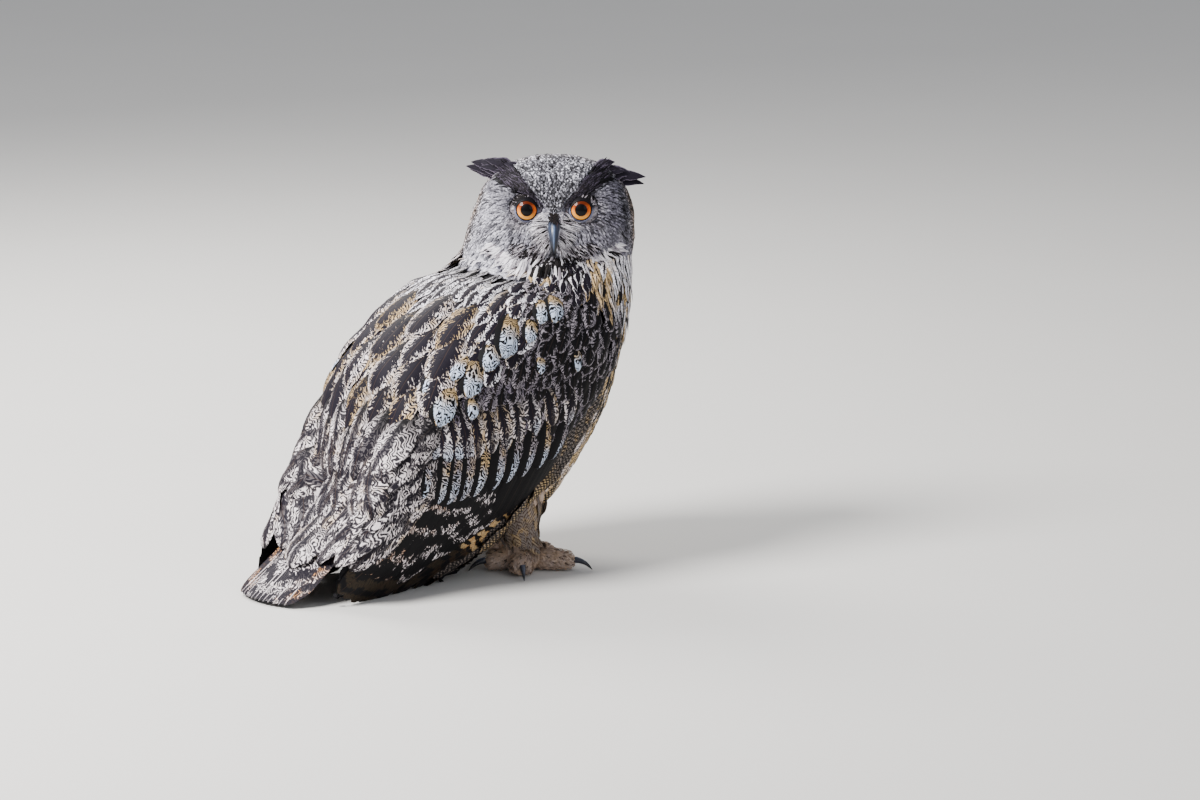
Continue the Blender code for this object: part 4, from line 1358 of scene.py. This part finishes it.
ahead, right, up = onHead(fleshPoints)
across = np.abs(right)
eyeGap = np.hypot(across - eyeAside, up)
bearing = np.degrees(np.arctan2(across, ahead))
onHeadOnly = fleshOwners == "head"
isForehead = onHeadOnly & (((up > foreheadFrom(across)) & (ahead > 0)) | ((up > 30) & (ahead < 24)))
isFace = onHeadOnly & ~isForehead & (ahead > -10) & (bearing < 92) & (up > -66)
headHomes = columns(
    np.degrees(np.arctan2(right, ahead)) / 360 % 1.0, np.arctan2(up, np.hypot(ahead, right)) / math.pi + 0.5, 0.0,
)
aside = headRight * np.sign(right)[:, None]
outFromEye = unit(aside * (across - eyeAside)[:, None] + headTop * up[:, None])
faceLie = outFromEye * smoothStep(eyeGap, 4, 20)[:, None] + (aside * 0.35 - headTop * 0.45)
foreheadLie = headTop * (1 - smoothStep(up, 20, 50))[:, None] * 0.9 - headFace + headRight * (right / 90)[:, None]
outer, upper = smoothStep(eyeGap, 14, 40), smoothStep(up, 15, 45)
strewn(
    "face_feathers", "face", "face", isFace, faceLie, sizesOf(7.5 + 3.5 * outer, 1.9 + 0.8 * outer, 2.0), headHomes,
    {"Spacing": 0.0019, "Density": 300000.0, "Stray": 0.30, "Uneven": 0.25, "Seed": 5},
)
strewn(
    "crown_feathers", "plumage", "face", isForehead, foreheadLie, sizesOf(7.0 + 5.0 * upper, 2.6 + 2.2 * upper, 2.2),
    headHomes, {"Spacing": 0.0023, "Density": 250000.0, "Stray": 0.35, "Uneven": 0.25, "Seed": 6},
)


# Nape, sides of the head and collar: longer feathers, streaked and laid on the guides


def napeTract(plumes, tract):
    tract = {**bodyDefaults, **tract}
    draw = plumes.random
    lowest = headGuideSettings["lowest"]
    first, last = ((90.0 - latitude) / (90.0 - lowest) for latitude in tract["latitudes"])
    roots = rootsOver(headGuide, tract, (first, last), tract["turns"], draw)
    count = len(roots)
    aside = headGuide.read(headGuide.alongTurn, roots) * draw.normal(size=(count, 1)) * 0.03
    lie = unit(headGuide.read(headGuide.alongRow, roots) + aside)
    scale = between(*tract["grow"], (roots[:, 0] - first) / (last - first)) * (1 + draw.uniform(-0.12, 0.12, count))
    places = walk(headGuide, roots, lie, tract["length"] * mm * scale, tract["stations"])
    heights = unevenHeights(tract, count, draw)
    marks = tract["marks"](lambda low, high: draw.uniform(low, high, count))
    addVanes(plumes, tract, headGuide, places, heights, tract["width"] * scale, marks)


dress("nape_feathers", "plumage", "nape", 26, (napeTract, {
    "latitudes": (40.0, -50.0), "turns": (82.0, 278.0), "along": 8.5, "across": 7.5, "length": 23.0, "width": 9.5,
    "grow": (0.75, 1.3), "lay": (-3.0, 1.4), "shape": "pointed", "stations": 8, "uneven": 0.5, "rag": 0.3, "roll": 0.10,
    "marks": lambda pick: (pick(0.7, 1.3), 0.12 + pick(-0.3, 0.4), 0.0),
}))
collarDegrees, collarDark, collarWarm = np.array((  # degrees from the back, how dark, how warm
    (0, 0.30, 0.0), (22, 0.35, 0.15), (34, 0.4, 0.6), (46, 0.6, 0.7), (52, 1.2, 0.3), (57, 2.6, 0.2), (72, 2.6, 0.2),
    (77, 0.5, 0.95), (88, 0.45, 0.9), (94, 0.6, 0.4), (102, 0.9, 0.1), (125, 0.8, 0.2), (150, 0.8, 0.8),
    (180, 0.8, 0.8),
)).T
dress("collar_feathers", "plumage", "neck", 27, (bodyTract, {
    "rows": (0.75, 0.98), "turns": (0.0, 180.0), "along": 8.0, "across": 9.0, "length": 36.0, "width": 11.0,
    "lay": (-3.0, 3.4), "shape": "pointed", "rag": 0.4, "stray": 9.0, "uneven": 1.0,
    "marks": lambda rows, degrees, pick: (
        np.interp(degrees, collarDegrees, collarDark) * pick(0.5, 1.4),
        np.interp(degrees, collarDegrees, collarWarm) + pick(-0.25, 0.25),
        0.0,
    ),
}))

# Legs and toes
footMiddles = {side: middle("foot_" + side) for side in sideSigns}
isLeg, isFoot = fleshOwners == "leg", fleshOwners == "foot"
outwards = fleshPoints - np.where(fleshPoints[:, :1] < 0, footMiddles["right"], footMiddles["left"])
outwards[:, 2] = -4 * mm
legLie = np.where(isFoot[:, None], unit(outwards) - np.array((0, 0, 0.25)), np.array((0.0, -0.15, -1.0)))
high = smoothStep(fleshPoints[:, 2], 0.03, 0.10)
legSizes = np.where(isFoot[:, None], sizesOf(5.0, 1.9, 1.5), sizesOf(8.0 + 14 * high, 2.6 + 5 * high, 2.2 + 1.5 * high))
legHomes = columns(fleshPoints[:, 0] * 3 + 0.5, fleshPoints[:, 2] * 3 + (fleshPoints[:, 1] + 0.1) * 3, 0.0)
strewn(
    "toe_down", "down", "down", isFoot & (fleshPoints[:, 2] > 1.5 * mm), legLie, legSizes, legHomes,
    {"Spacing": 0.0017, "Density": 400000.0, "Stray": 0.4, "Uneven": 0.3, "Seed": 8},
)
strewn(
    "leg_down", "down", "down", isLeg, legLie, legSizes, legHomes,
    {"Spacing": 0.0029, "Density": 180000.0, "Stray": 0.3, "Uneven": 0.25, "Seed": 9},
)

# Loose barred feathers hang over the top of each leg; heights over the floor and lengths in mm
thighSettings = {
    "starts": (98.0, 88.0, 78.0, 68.0), "around": 15, "length": 46.0, "width": 15.0, "reach": 17.0, "lay": (-1.0, 5.0),
}


def makeThighs(thighs, settings):
    draw, around, shares = thighs.random, settings["around"], stationsFor(8)
    lift = between(*settings["lay"], shares) * mm
    for side in sideSigns:
        foot, hip = footMiddles[side], middle("leg_" + side)
        for order, start in enumerate(settings["starts"]):
            turns = (np.arange(around) + 0.5 * (order % 2) + draw.uniform(-0.25, 0.25, around)) / around * math.tau
            lengths = settings["length"] * mm * draw.uniform(0.8, 1.1, around)
            heights = start * mm + draw.uniform(-3, 3, (around, 1)) * mm - lengths[:, None] * shares
            away = columns(np.cos(turns), np.sin(turns), 0.0)
            lines = np.zeros((around, len(shares), 3))
            for i, j in np.ndindex(lines.shape[:2]):
                axis = foot + (hip - foot) * (heights[i, j] - foot[2]) / (hip[2] - foot[2])
                place, normal = fleshTree.find_nearest(Vector(axis + away[i] * settings["reach"] * mm))[:2]
                lines[i, j] = np.array(place) + np.array(normal) * lift[j]
            marks = (draw.uniform(0.3, 1.0, around), draw.uniform(-0.1, 0.5, around), 0.0)
            widths = settings["width"] * draw.uniform(0.85, 1.15, around)
            thighs.add(
                blurred(lines, 0.8, 1), np.broadcast_to(away[:, None], lines.shape), widths, "round", marks,
                columns(turns / math.tau % 1.0, start / 120.0), 0.012, rag=0.4, roll=0.15, dome=0.14,
            )


dress("thigh_feathers", "plumage", "thigh", 28, (makeThighs, thighSettings))
bpy.data.objects.remove(tuftObject)
bpy.data.objects.remove(flesh)

# Tail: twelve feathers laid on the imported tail, the middle pair on top

tailSettings = {
    "count": 12, "rootSpread": 0.024, "tipSpread": 0.037, "width": 34.0, "stations": 18, "pile": 3.0, "lift": 0.6,
}


def makeTail(settings):
    low, high = boxOf("tail")
    start = np.array((0.0, low[1] - 0.016, high[2] + 0.006))
    end = np.array((0.0, high[1] - 0.001, low[2] + 0.002))
    down = unit(end - start)
    normal = np.array((0.0, -down[2], down[1]))
    tree, _ = bvhOf(["tail"])
    plumes = Plumes("tail_feathers", "flight", "tail", 31, across=7)
    shares, fan = stationsFor(settings["stations"]), np.linspace(-1, 1, settings["count"])
    lines = start + (end - start) * (shares * (1 - 0.035 * fan[:, None] ** 2))[..., None]
    lines[..., 0] = fan[:, None] * between(settings["rootSpread"], settings["tipSpread"], shares)
    for i, j in np.ndindex(lines.shape[:2]):
        hit = tree.ray_cast(Vector(lines[i, j] + normal * 0.05), Vector(-normal), 0.2)[0]
        lines[i, j] = lines[i, j] if hit is None else hit
    lines[..., 1:] = blurred(lines[..., 1:], 1.5, 1)
    lines += normal * mm * (settings["lift"] + settings["pile"] * (0.5 - np.abs(fan)))[:, None, None]
    normals = unit(normal + np.array((1.0, 0, 0)) * (fan * 0.18)[:, None, None] + np.zeros_like(lines))
    marks = (1.0, 0.05 + 0.55 * smoothStep(np.abs(fan), 0.35, 0.9), 0.0)
    plumes.add(
        lines, normals, np.full(len(fan), settings["width"]), "long", marks, columns(0.5 + fan * 0.4, 0.5), 0.06,
        thick=0.9, dome=0.05, rag=0.05, roll=0.02, patchLong=12.0,
    )
    plumes.build("tail")


makeTail(tailSettings)


# Ear tufts: layers of feathers, places in mm right and up of the point between the eyes

tuftLayers = {
    # roots from low to high, tips from low to high, count, width, ahead of the head's centre at root and tip
    "right": (
        (((46, 27), (47, 38)), ((91, 38), (94, 43), (80, 48)), 4, 16.0, (10, 4)),
        (((40, 24), (41, 40)), ((76, 32), (80, 41), (68, 49)), 6, 12.5, (15, 10)),
        (((33, 19), (35, 37)), ((60, 26), (64, 35), (55, 46)), 6, 11.5, (21, 16)),
    ),
    "left": (
        (((50, 27), (52, 33)), ((95, 24), (96, 29), (85, 35)), 3, 16.5, (10, 4)),
        (((41, 21), (41, 39)), ((70, 24), (75, 34), (63, 46)), 6, 13.0, (15, 10)),
        (((33, 16), (35, 36)), ((57, 21), (62, 33), (52, 45)), 6, 11.5, (21, 16)),
    ),
}


def makeEarTuft(side, seed):
    sign, shares = sideSigns[side], stationsFor(10)
    plumes = Plumes("ear_tuft_feathers_" + side, "tuft", "tuft", seed)
    draw = plumes.random
    for roots, tips, count, width, depths in tuftLayers[side]:
        at = np.linspace(0, 1, count)
        ends = curveThrough(tips, at) + draw.normal(size=(count, 2)) * 1.3
        places = between(curveThrough(roots, at)[:, None], ends[:, None], shares[:, None])
        ahead = between(*depths, shares) + np.linspace(-2, 1.5, count)[:, None]
        lines = headPoint(ahead, places[..., 0] * sign, places[..., 1] + 8.0 * shares * (1 - shares))
        normals = np.broadcast_to(unit(headFace * 0.8 + headTop * 0.45 + headRight * sign * 0.25), lines.shape)
        marks = (draw.uniform(0.9, 1.2, count), 0.0, 0.0)
        widths = width * (1 + draw.uniform(-0.15, 0.15, count))
        homes = columns(0.3 + 0.4 * at, 0.5)
        plumes.add(lines, normals, widths, "pointed", marks, homes, 0.05, thick=0.5, dome=0.12, rag=0.25, roll=0.15)
    plumes.build("ear_tuft_" + side)


makeEarTuft("right", 41)
makeEarTuft("left", 42)


# Eyes, with lids

eyeSettings = {
    "pupil": 23.0,  # degrees from the gaze
    "iris": 39.5,
    "cornea": 0.055,  # how far it swells, in shares of the radius
    "rings": 39,
    "around": 72,
    "lidWidth": 31.0,  # degrees
    "frown": 7.0,
    # the lid's section: share of its width, mm off the ball
    "lidProfile": (
        (0.0, -0.8), (0.0, 0.35), (0.08, 0.65), (0.21, 0.7), (0.30, 0.40), (0.60, 0.60), (1.0, 0.5), (1.0, -3.6),
        (0.4, -2.8),
    ),
}


def eyeMaterial(pupil, iris):
    material, shade = newMaterial("eye")
    angle, height, aside = parts(attribute(shade, "gaze"))
    fibres = noise(joined(aside * 5.0, height * 5.0, angle * 0.02), 2.2, 3.0, 0.7)
    amber = mixed(smooth(angle, pupil + 1.0, iris - 6), srgb(170, 66, 14), srgb(226, 104, 20))
    # the iris is painted lighter towards its lower part, as light gathered through the cornea: painted light
    paintedLowerLight = smooth(height * -1.0 + aside * 0.25, -0.25, 0.80)
    amber = tinted(mixed(paintedLowerLight * 0.9, amber, srgb(255, 176, 70)), fibres * 0.8 + 0.58)
    # its upper part is painted dark: painted shade under the brow
    amber = mixed(smooth(height, 0.0, 0.7) * 0.95, amber, srgb(66, 20, 5))
    colour = mixed(smooth(angle, pupil - 0.6, pupil + 0.6), srgb(3, 3, 4), amber)
    colour = mixed(smooth(angle, iris - 2.5, iris + 0.5), colour, srgb(6, 5, 6))
    normal = bumped(fibres, 0.0002, 0.3)
    surfaced(shade, colour, 0.5, normal, Coat_Weight=0.22, Coat_Roughness=0.04, Specular_IOR_Level=0.05)
    return material


def lidMaterial():
    material, shade = newMaterial("eyelid")
    share, height, _ = parts(attribute(shade, "lid"))
    grain = noise(placeOn(shade), 900.0, 2.0)
    stray = (grain - 0.5) * 0.4
    below = mixed(smooth(share + stray, 0.35, 0.8), srgb(122, 124, 148), srgb(124, 122, 134))
    outer = mixed(smooth(height + stray, 0.40, -0.25), srgb(16, 14, 18), below)
    colour = mixed(smooth(share + (grain - 0.5) * 0.3, 0.08, 0.20), srgb(5, 4, 6), outer)
    surfaced(shade, tinted(colour, grain * 0.9 + 0.55), 0.5, bumped(grain, 0.0003, 0.5), Specular_IOR_Level=0.12)
    return material


looks["eye"] = eyeMaterial(eyeSettings["pupil"], eyeSettings["iris"])
looks["lid"] = lidMaterial()


def eyeBall(side):  # its centre and radius
    low, high = boxOf("eye_" + side)
    return (low + high) / 2, np.mean(high - low) / 2


def fromGaze(angles, turns):  # directions at angles from the gaze, turned round it
    angles, turns = (np.asarray(value)[..., None] for value in (angles, turns))
    return np.cos(angles) * headFace + np.sin(angles) * (np.cos(turns) * headRight + np.sin(turns) * headTop)


def makeEye(side, settings):
    centre, radius = eyeBall(side)
    rings, around = settings["rings"], settings["around"]
    angles = np.linspace(0, math.pi, rings + 2)[1:-1]
    turns = np.linspace(0, math.tau, around, endpoint=False)
    swell = 1 + settings["cornea"] * np.exp(-((np.degrees(angles) / 26.0) ** 2))
    points = (centre + fromGaze(angles[:, None], turns) * (radius * swell)[:, None, None]).reshape(-1, 3)
    front = centre + headFace * radius * (1 + settings["cornea"])
    points = np.concatenate([points, [front, centre - headFace * radius]])
    ball = meshFrom("eye_ball_" + side, points, [ringFaces(rings, around), endFaces(rings, around)], None, looks["eye"])
    away = unit(points - centre)
    gaze = np.degrees(np.arccos(np.clip(away @ headFace, -1, 1)))
    keep(ball.data, gaze=columns(gaze, away @ headTop * 1.55, away @ headRight * 1.55))
    outwardFaces(ball)
    finished(ball, "eye", "eye_" + side)

    # the lid is a rounded ring that rests on the ball
    frown = np.clip(np.sin(turns - sideSigns[side] * math.radians(20)) - 0.25, 0, 1) ** 1.2
    inner = settings["iris"] - 1.2 - settings["frown"] * frown
    shares, heights = np.array(settings["lidProfile"]).T
    section = len(shares)
    outwards = fromGaze(np.radians(inner[:, None] + settings["lidWidth"] * shares), turns[:, None])
    points = centre + outwards * (radius + heights * mm)[:, None]
    lid = meshFrom("eyelid_" + side, points.reshape(-1, 3), [ringFaces(around, section, True)], None, looks["lid"])
    keep(lid.data, lid=columns(np.tile(shares, around), np.repeat(np.sin(turns), section), 0.0))
    outwardFaces(lid)
    finished(lid, "face")


for side in sideSigns:
    makeEye(side, eyeSettings)


# Bill and claws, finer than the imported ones


def hornMaterial(name, base, tip, highlightColour, shine):
    material, shade = newMaterial(name)
    toTip, highlightShare, _ = parts(attribute(shade, "horn"))
    place = placeOn(shade)
    cloud = noise(place, 160.0, 3.0)
    streaks = noise(stretched(place, (1400.0, 1400.0, 260.0)), 1.0, 2.0)
    colour = mixed(smooth(toTip + (cloud - 0.5) * 0.3, 0.25, 0.85), base, tip)
    # a paler colour is painted along the bill's middle line and on the claws' upper faces: a painted highlight
    paintedHighlight = smooth(highlightShare + (cloud - 0.5) * 0.4, 0.55, 1.0) * 0.6 * (1 - smooth(toTip, 0.55, 0.95))
    colour = tinted(mixed(paintedHighlight, colour, highlightColour), cloud * 0.4 + streaks * 0.12 + 0.74)
    normal = bumped(streaks * 0.6 + cloud, 0.0002, 0.4)
    surfaced(shade, colour, shine, normal, Coat_Weight=0.12, Coat_Roughness=0.16)
    return material


# the third colour of each is a painted highlight
looks["bill"] = hornMaterial("bill", srgb(44, 54, 74), srgb(12, 12, 16), srgb(120, 142, 180), 0.38)
looks["claws"] = hornMaterial("claws", srgb(44, 46, 58), srgb(14, 14, 18), srgb(112, 118, 136), 0.24)


def billMarks(points, normals):  # how near the tip, and how near the middle line, where a highlight is painted
    _, right, up = onHead(points)
    return columns((up.max() - up) / np.ptp(up), 1 - np.abs(right) / 3.0, 0.0)


# how near the tip, and how far it faces upwards, where a highlight is painted
def clawMarks(points, normals):
    share = np.zeros(len(points))
    for centre in footMiddles.values():
        here = np.sign(points[:, 0]) == np.sign(centre[0])
        away = np.linalg.norm((points - centre)[here, :2], axis=1)
        share[here] = (away - away.min()) / np.ptp(away)
    return columns(share, np.maximum(normals[:, 2], 0), 0.0)


def fineCopy(name, names, marks):
    piece = meshOfNodes(name, names)
    subdivide = piece.modifiers.new("finer", "SUBSURF")
    subdivide.levels = subdivide.render_levels = 2
    settled(piece)
    mesh = piece.data
    mesh.name = name
    keep(mesh, horn=marks(pointsOf(mesh), normalsOf(mesh)))
    mesh.polygons.foreach_set("use_smooth", np.ones(len(mesh.polygons), bool))
    mesh.materials.clear()
    mesh.materials.append(looks[name])
    finished(piece, "horn", *names)


fineCopy("bill", ("bill_upper", "bill_lower"), billMarks)
fineCopy("claws", [name for name in nodes if name.startswith("claw_")], clawMarks)


# Brows, bristles by the bill and the beard under it

headTree, _ = bvhOf(["head", "neck", "trunk", "wing_right", "wing_left"])
billTree, _ = bvhOf(["head", "bill_upper"])
hairThickness = {"thick": 0.3, "dome": 0.15, "rag": 0.25, "roll": 0.2}


def onFace(right, up, tree):  # how far ahead the face's surface is there, in mm
    starts, result = headPoint(140.0, right, up), np.zeros(right.shape)
    for index in np.ndindex(right.shape):
        distance = tree.ray_cast(Vector(starts[index]), Vector(-headFace), 0.2)[3]
        result[index] = 0.0 if distance is None else 140.0 - distance / mm
    return result


def addHairs(
    plumes, sign, base, degrees, lengths, streaks, warms, widths, lifts, bow,
    shape="hair", turnedTo=0.0, sag=0.0, tree=headTree,
):
    # base: out from the middle and up, in mm; degrees: from outwards to upwards; lifts: off the face at root and tip
    base, angle, shares = columns(*base), np.radians(degrees), stationsFor(6)
    tips = base + columns(np.cos(angle), np.sin(angle)) * lengths[:, None]
    places = between(base[:, None], tips[:, None], shares[:, None])
    arch = 4 * shares * (1 - shares)
    right, up = places[..., 0] * sign, places[..., 1] + sag * arch
    surface = onFace(right, up, tree)
    surface = np.maximum(surface, surface.max(axis=1, keepdims=True) - 14.0)
    lines = headPoint(blurred(surface + between(*lifts, shares) + bow * arch, 0.8, 1), right, up)
    normals = unit(headFace + headRight * (right / 60.0)[..., None] + headTop * turnedTo)
    homes = columns(0.5 + right[:, 0] / 200, 0.5 + base[:, 1] / 200)
    widths = np.broadcast_to(widths, len(base))
    plumes.add(lines, normals, widths, shape, (streaks, warms, 0.0), homes, 0.004, **hairThickness)


def makeFaceFeathers():
    brows = Plumes("brow_feathers", "face", "brow", 51, across=3)
    bristles = Plumes("bill_bristles", "face", "bristle", 52, across=3)
    ruff = Plumes("ruff_feathers", "face", "bristle", 53)
    draw = brows.random

    def pick(low=0.0, high=1.0):
        return draw.uniform(low, high, count)

    def stray(spread):
        return draw.normal(size=count) * spread

    def dark(share):  # 1.1 for that share of them
        return np.where(pick() < share, 1.1, 0.0)

    for sign in sideSigns.values():
        count = 130
        out = 10 + 38 * pick() ** 0.9
        low = np.interp(out, *browLine) - 0.5
        up = between(low, np.minimum(foreheadFrom(out) - 1.0, low + 20), pick())
        addHairs(
            brows, sign, (out, up), 40 + stray(9), 8 + 0.16 * out + pick(-1.5, 1.5),
            np.where(pick() < 0.10 + 0.45 * smoothStep(out, 18, 36), 0.5, 1.1), pick(0.3, 1.1),
            3.0, (-1.2, 1.2), 1.2, "pointed", 0.5,
        )
        # long pale bristles sweep outwards and down from the sides of the bill
        count = 210
        start = pick()
        addHairs(
            bristles, sign, (3.6 + 4.0 * pick() ** 2, -12 - 26 * start), -6 - 62 * start + stray(9),
            (27 - 12 * start) * pick(0.7, 1.1), dark(0.33), pick(0.0, 0.9), pick(0.9, 1.5), (-1.0, 1.4), 2.4, sag=1.6,
        )
        # dark ones over the bill's root
        count = 26
        out = pick(0, 4.0)
        addHairs(
            bristles, sign, (out, pick(-8, -3)), -90 + 5 * out + stray(8), pick(6, 9), 1.1, 1.0, pick(1.6, 2.4),
            (-0.3, 0.7), 0.5, tree=billTree,
        )
        # short ones from the inner corner of the eye
        count = 70
        addHairs(
            bristles, sign, (pick(5, 16), pick(-14, -2)), -42 + stray(12), pick(8, 13), dark(0.15), pick(0.0, 0.8),
            pick(0.9, 1.5), (-0.8, 1.0), 1.0,
        )
        # wavy whiskers on the lower cheek
        count = 150
        out = 6 + 34 * pick()
        addHairs(
            bristles, sign, (out, -38 - 14 * pick() + 0.10 * out), -30 - 40 * pick() + 0.5 * out, pick(9, 16),
            dark(0.55), pick(0.3, 1.2), pick(1.2, 2.2), (-1.0, 1.6), 1.6, sag=1.0,
        )
        # dark beard below the chin
        count = 130
        out = pick(0, 26)
        addHairs(
            bristles, sign, (out, -47 - pick(0, 10) + 0.010 * out**2), -90 + 1.8 * out + stray(14), pick(8, 14),
            dark(0.84), pick(0.0, 0.9), pick(1.6, 2.6), (-1.5, 1.5), 2.0,
        )
        # longer ones hide where the face meets the neck, darker under the beard
        count = 150
        out = pick(0, 62)
        share, reach = (0.12, 15) if sign > 0 else (0.3, 24)
        addHairs(
            ruff, sign, (out, -56 + 0.0052 * out**2 + pick(-4, 4)), -84 + 0.95 * out + stray(12), pick(13, 22),
            dark(share + 0.65 * (out < reach)), pick(-0.2, 0.9), pick(3.0, 5.0), (-2.0, 1.8), 1.5, "pointed",
        )
    for plumes in (brows, bristles, ruff):
        plumes.build()


makeFaceFeathers()

# Short feathers lie outwards over the rim of each lid; degrees from the gaze, lengths in mm
rimSettings = {"count": 420, "roots": (51.0, 62.0), "reach": 19.0, "lift": (0.4, 2.4), "width": (1.0, 1.7)}


def makeEyeRims(rims, settings):
    draw, count, shares = rims.random, settings["count"], stationsFor(5)
    lift = between(*settings["lift"], shares) * mm
    for side in sideSigns:
        centre, radius = eyeBall(side)
        turns = draw.uniform(0, math.tau, count)
        roots = draw.uniform(*settings["roots"], count)
        angles = np.radians(roots[:, None] + settings["reach"] * draw.uniform(0.7, 1.2, (count, 1)) * shares)
        away = fromGaze(angles, turns[:, None] + 0.25 * draw.normal(size=(count, 1)) * shares)
        above = smoothStep(np.sin(turns) + 0.35 * draw.normal(size=count), 0.2, 0.7)
        marks = (1.1 * (draw.random(count) < 0.12 + 0.88 * above), draw.uniform(0.45, 1.2, count), 0.0)
        widths, homes = draw.uniform(*settings["width"], count), columns(turns / math.tau, roots / 90)
        rims.add(centre + away * (radius + lift)[:, None], away, widths, "hair", marks, homes, 0.004, **hairThickness)


dress("eye_rim_feathers", "face", "bristle", 54, (makeEyeRims, rimSettings), across=3)

# Light and floor

stageSettings = {
    "floor": 60.0,
    "world": 0.56,
    # for each light: how far towards the camera, right and up of the bird, size, power, tint
    "lights": {
        "key": (0.9, -1.7, 1.9, 1.3, 235.0, (1.0, 0.98, 0.965)),
        "fill": (1.6, 1.8, 0.8, 1.6, 8.0, (0.92, 0.96, 1.0)),
        "rim": (-1.6, -0.8, 1.8, 1.2, 60.0, (1.0, 0.98, 0.95)),
    },
}


def dressStage(settings):
    centre = np.array(cadBox).sum(axis=0) / 2
    floorMaterial, shade = newMaterial("pale floor")
    surfaced(shade, tinted(srgb(214, 212, 208), noise(placeOn(shade), 3.0, 2.0) * 0.04 + 0.97), 0.75)
    half = settings["floor"] / 2
    mesh = bpy.data.meshes.new("floor")
    mesh.from_pydata([(-half, -half, 0), (half, -half, 0), (half, half, 0), (-half, half, 0)], [], [(0, 1, 2, 3)])
    mesh.materials.append(floorMaterial)
    linked("floor", mesh)
    world = bpy.data.worlds.new("studio")
    bpy.context.scene.world = world
    world.use_nodes = True
    background = world.node_tree.nodes["Background"]
    background.inputs["Color"].default_value = (*srgb(226, 230, 238), 1.0)
    background.inputs["Strength"].default_value = settings["world"]
    for name, (near, right, over, size, power, tint) in settings["lights"].items():
        light = linked(name, bpy.data.lights.new(name, "AREA"))
        light.data.shape, light.data.size, light.data.energy, light.data.color = "DISK", size, power, tint
        place = centre - look * near + viewRight * right + np.array((0, 0, over))
        light.location = place
        light.rotation_euler = Vector(centre - place).to_track_quat("-Z", "Y").to_euler()
    print("floor and lights made")


dressStage(stageSettings)
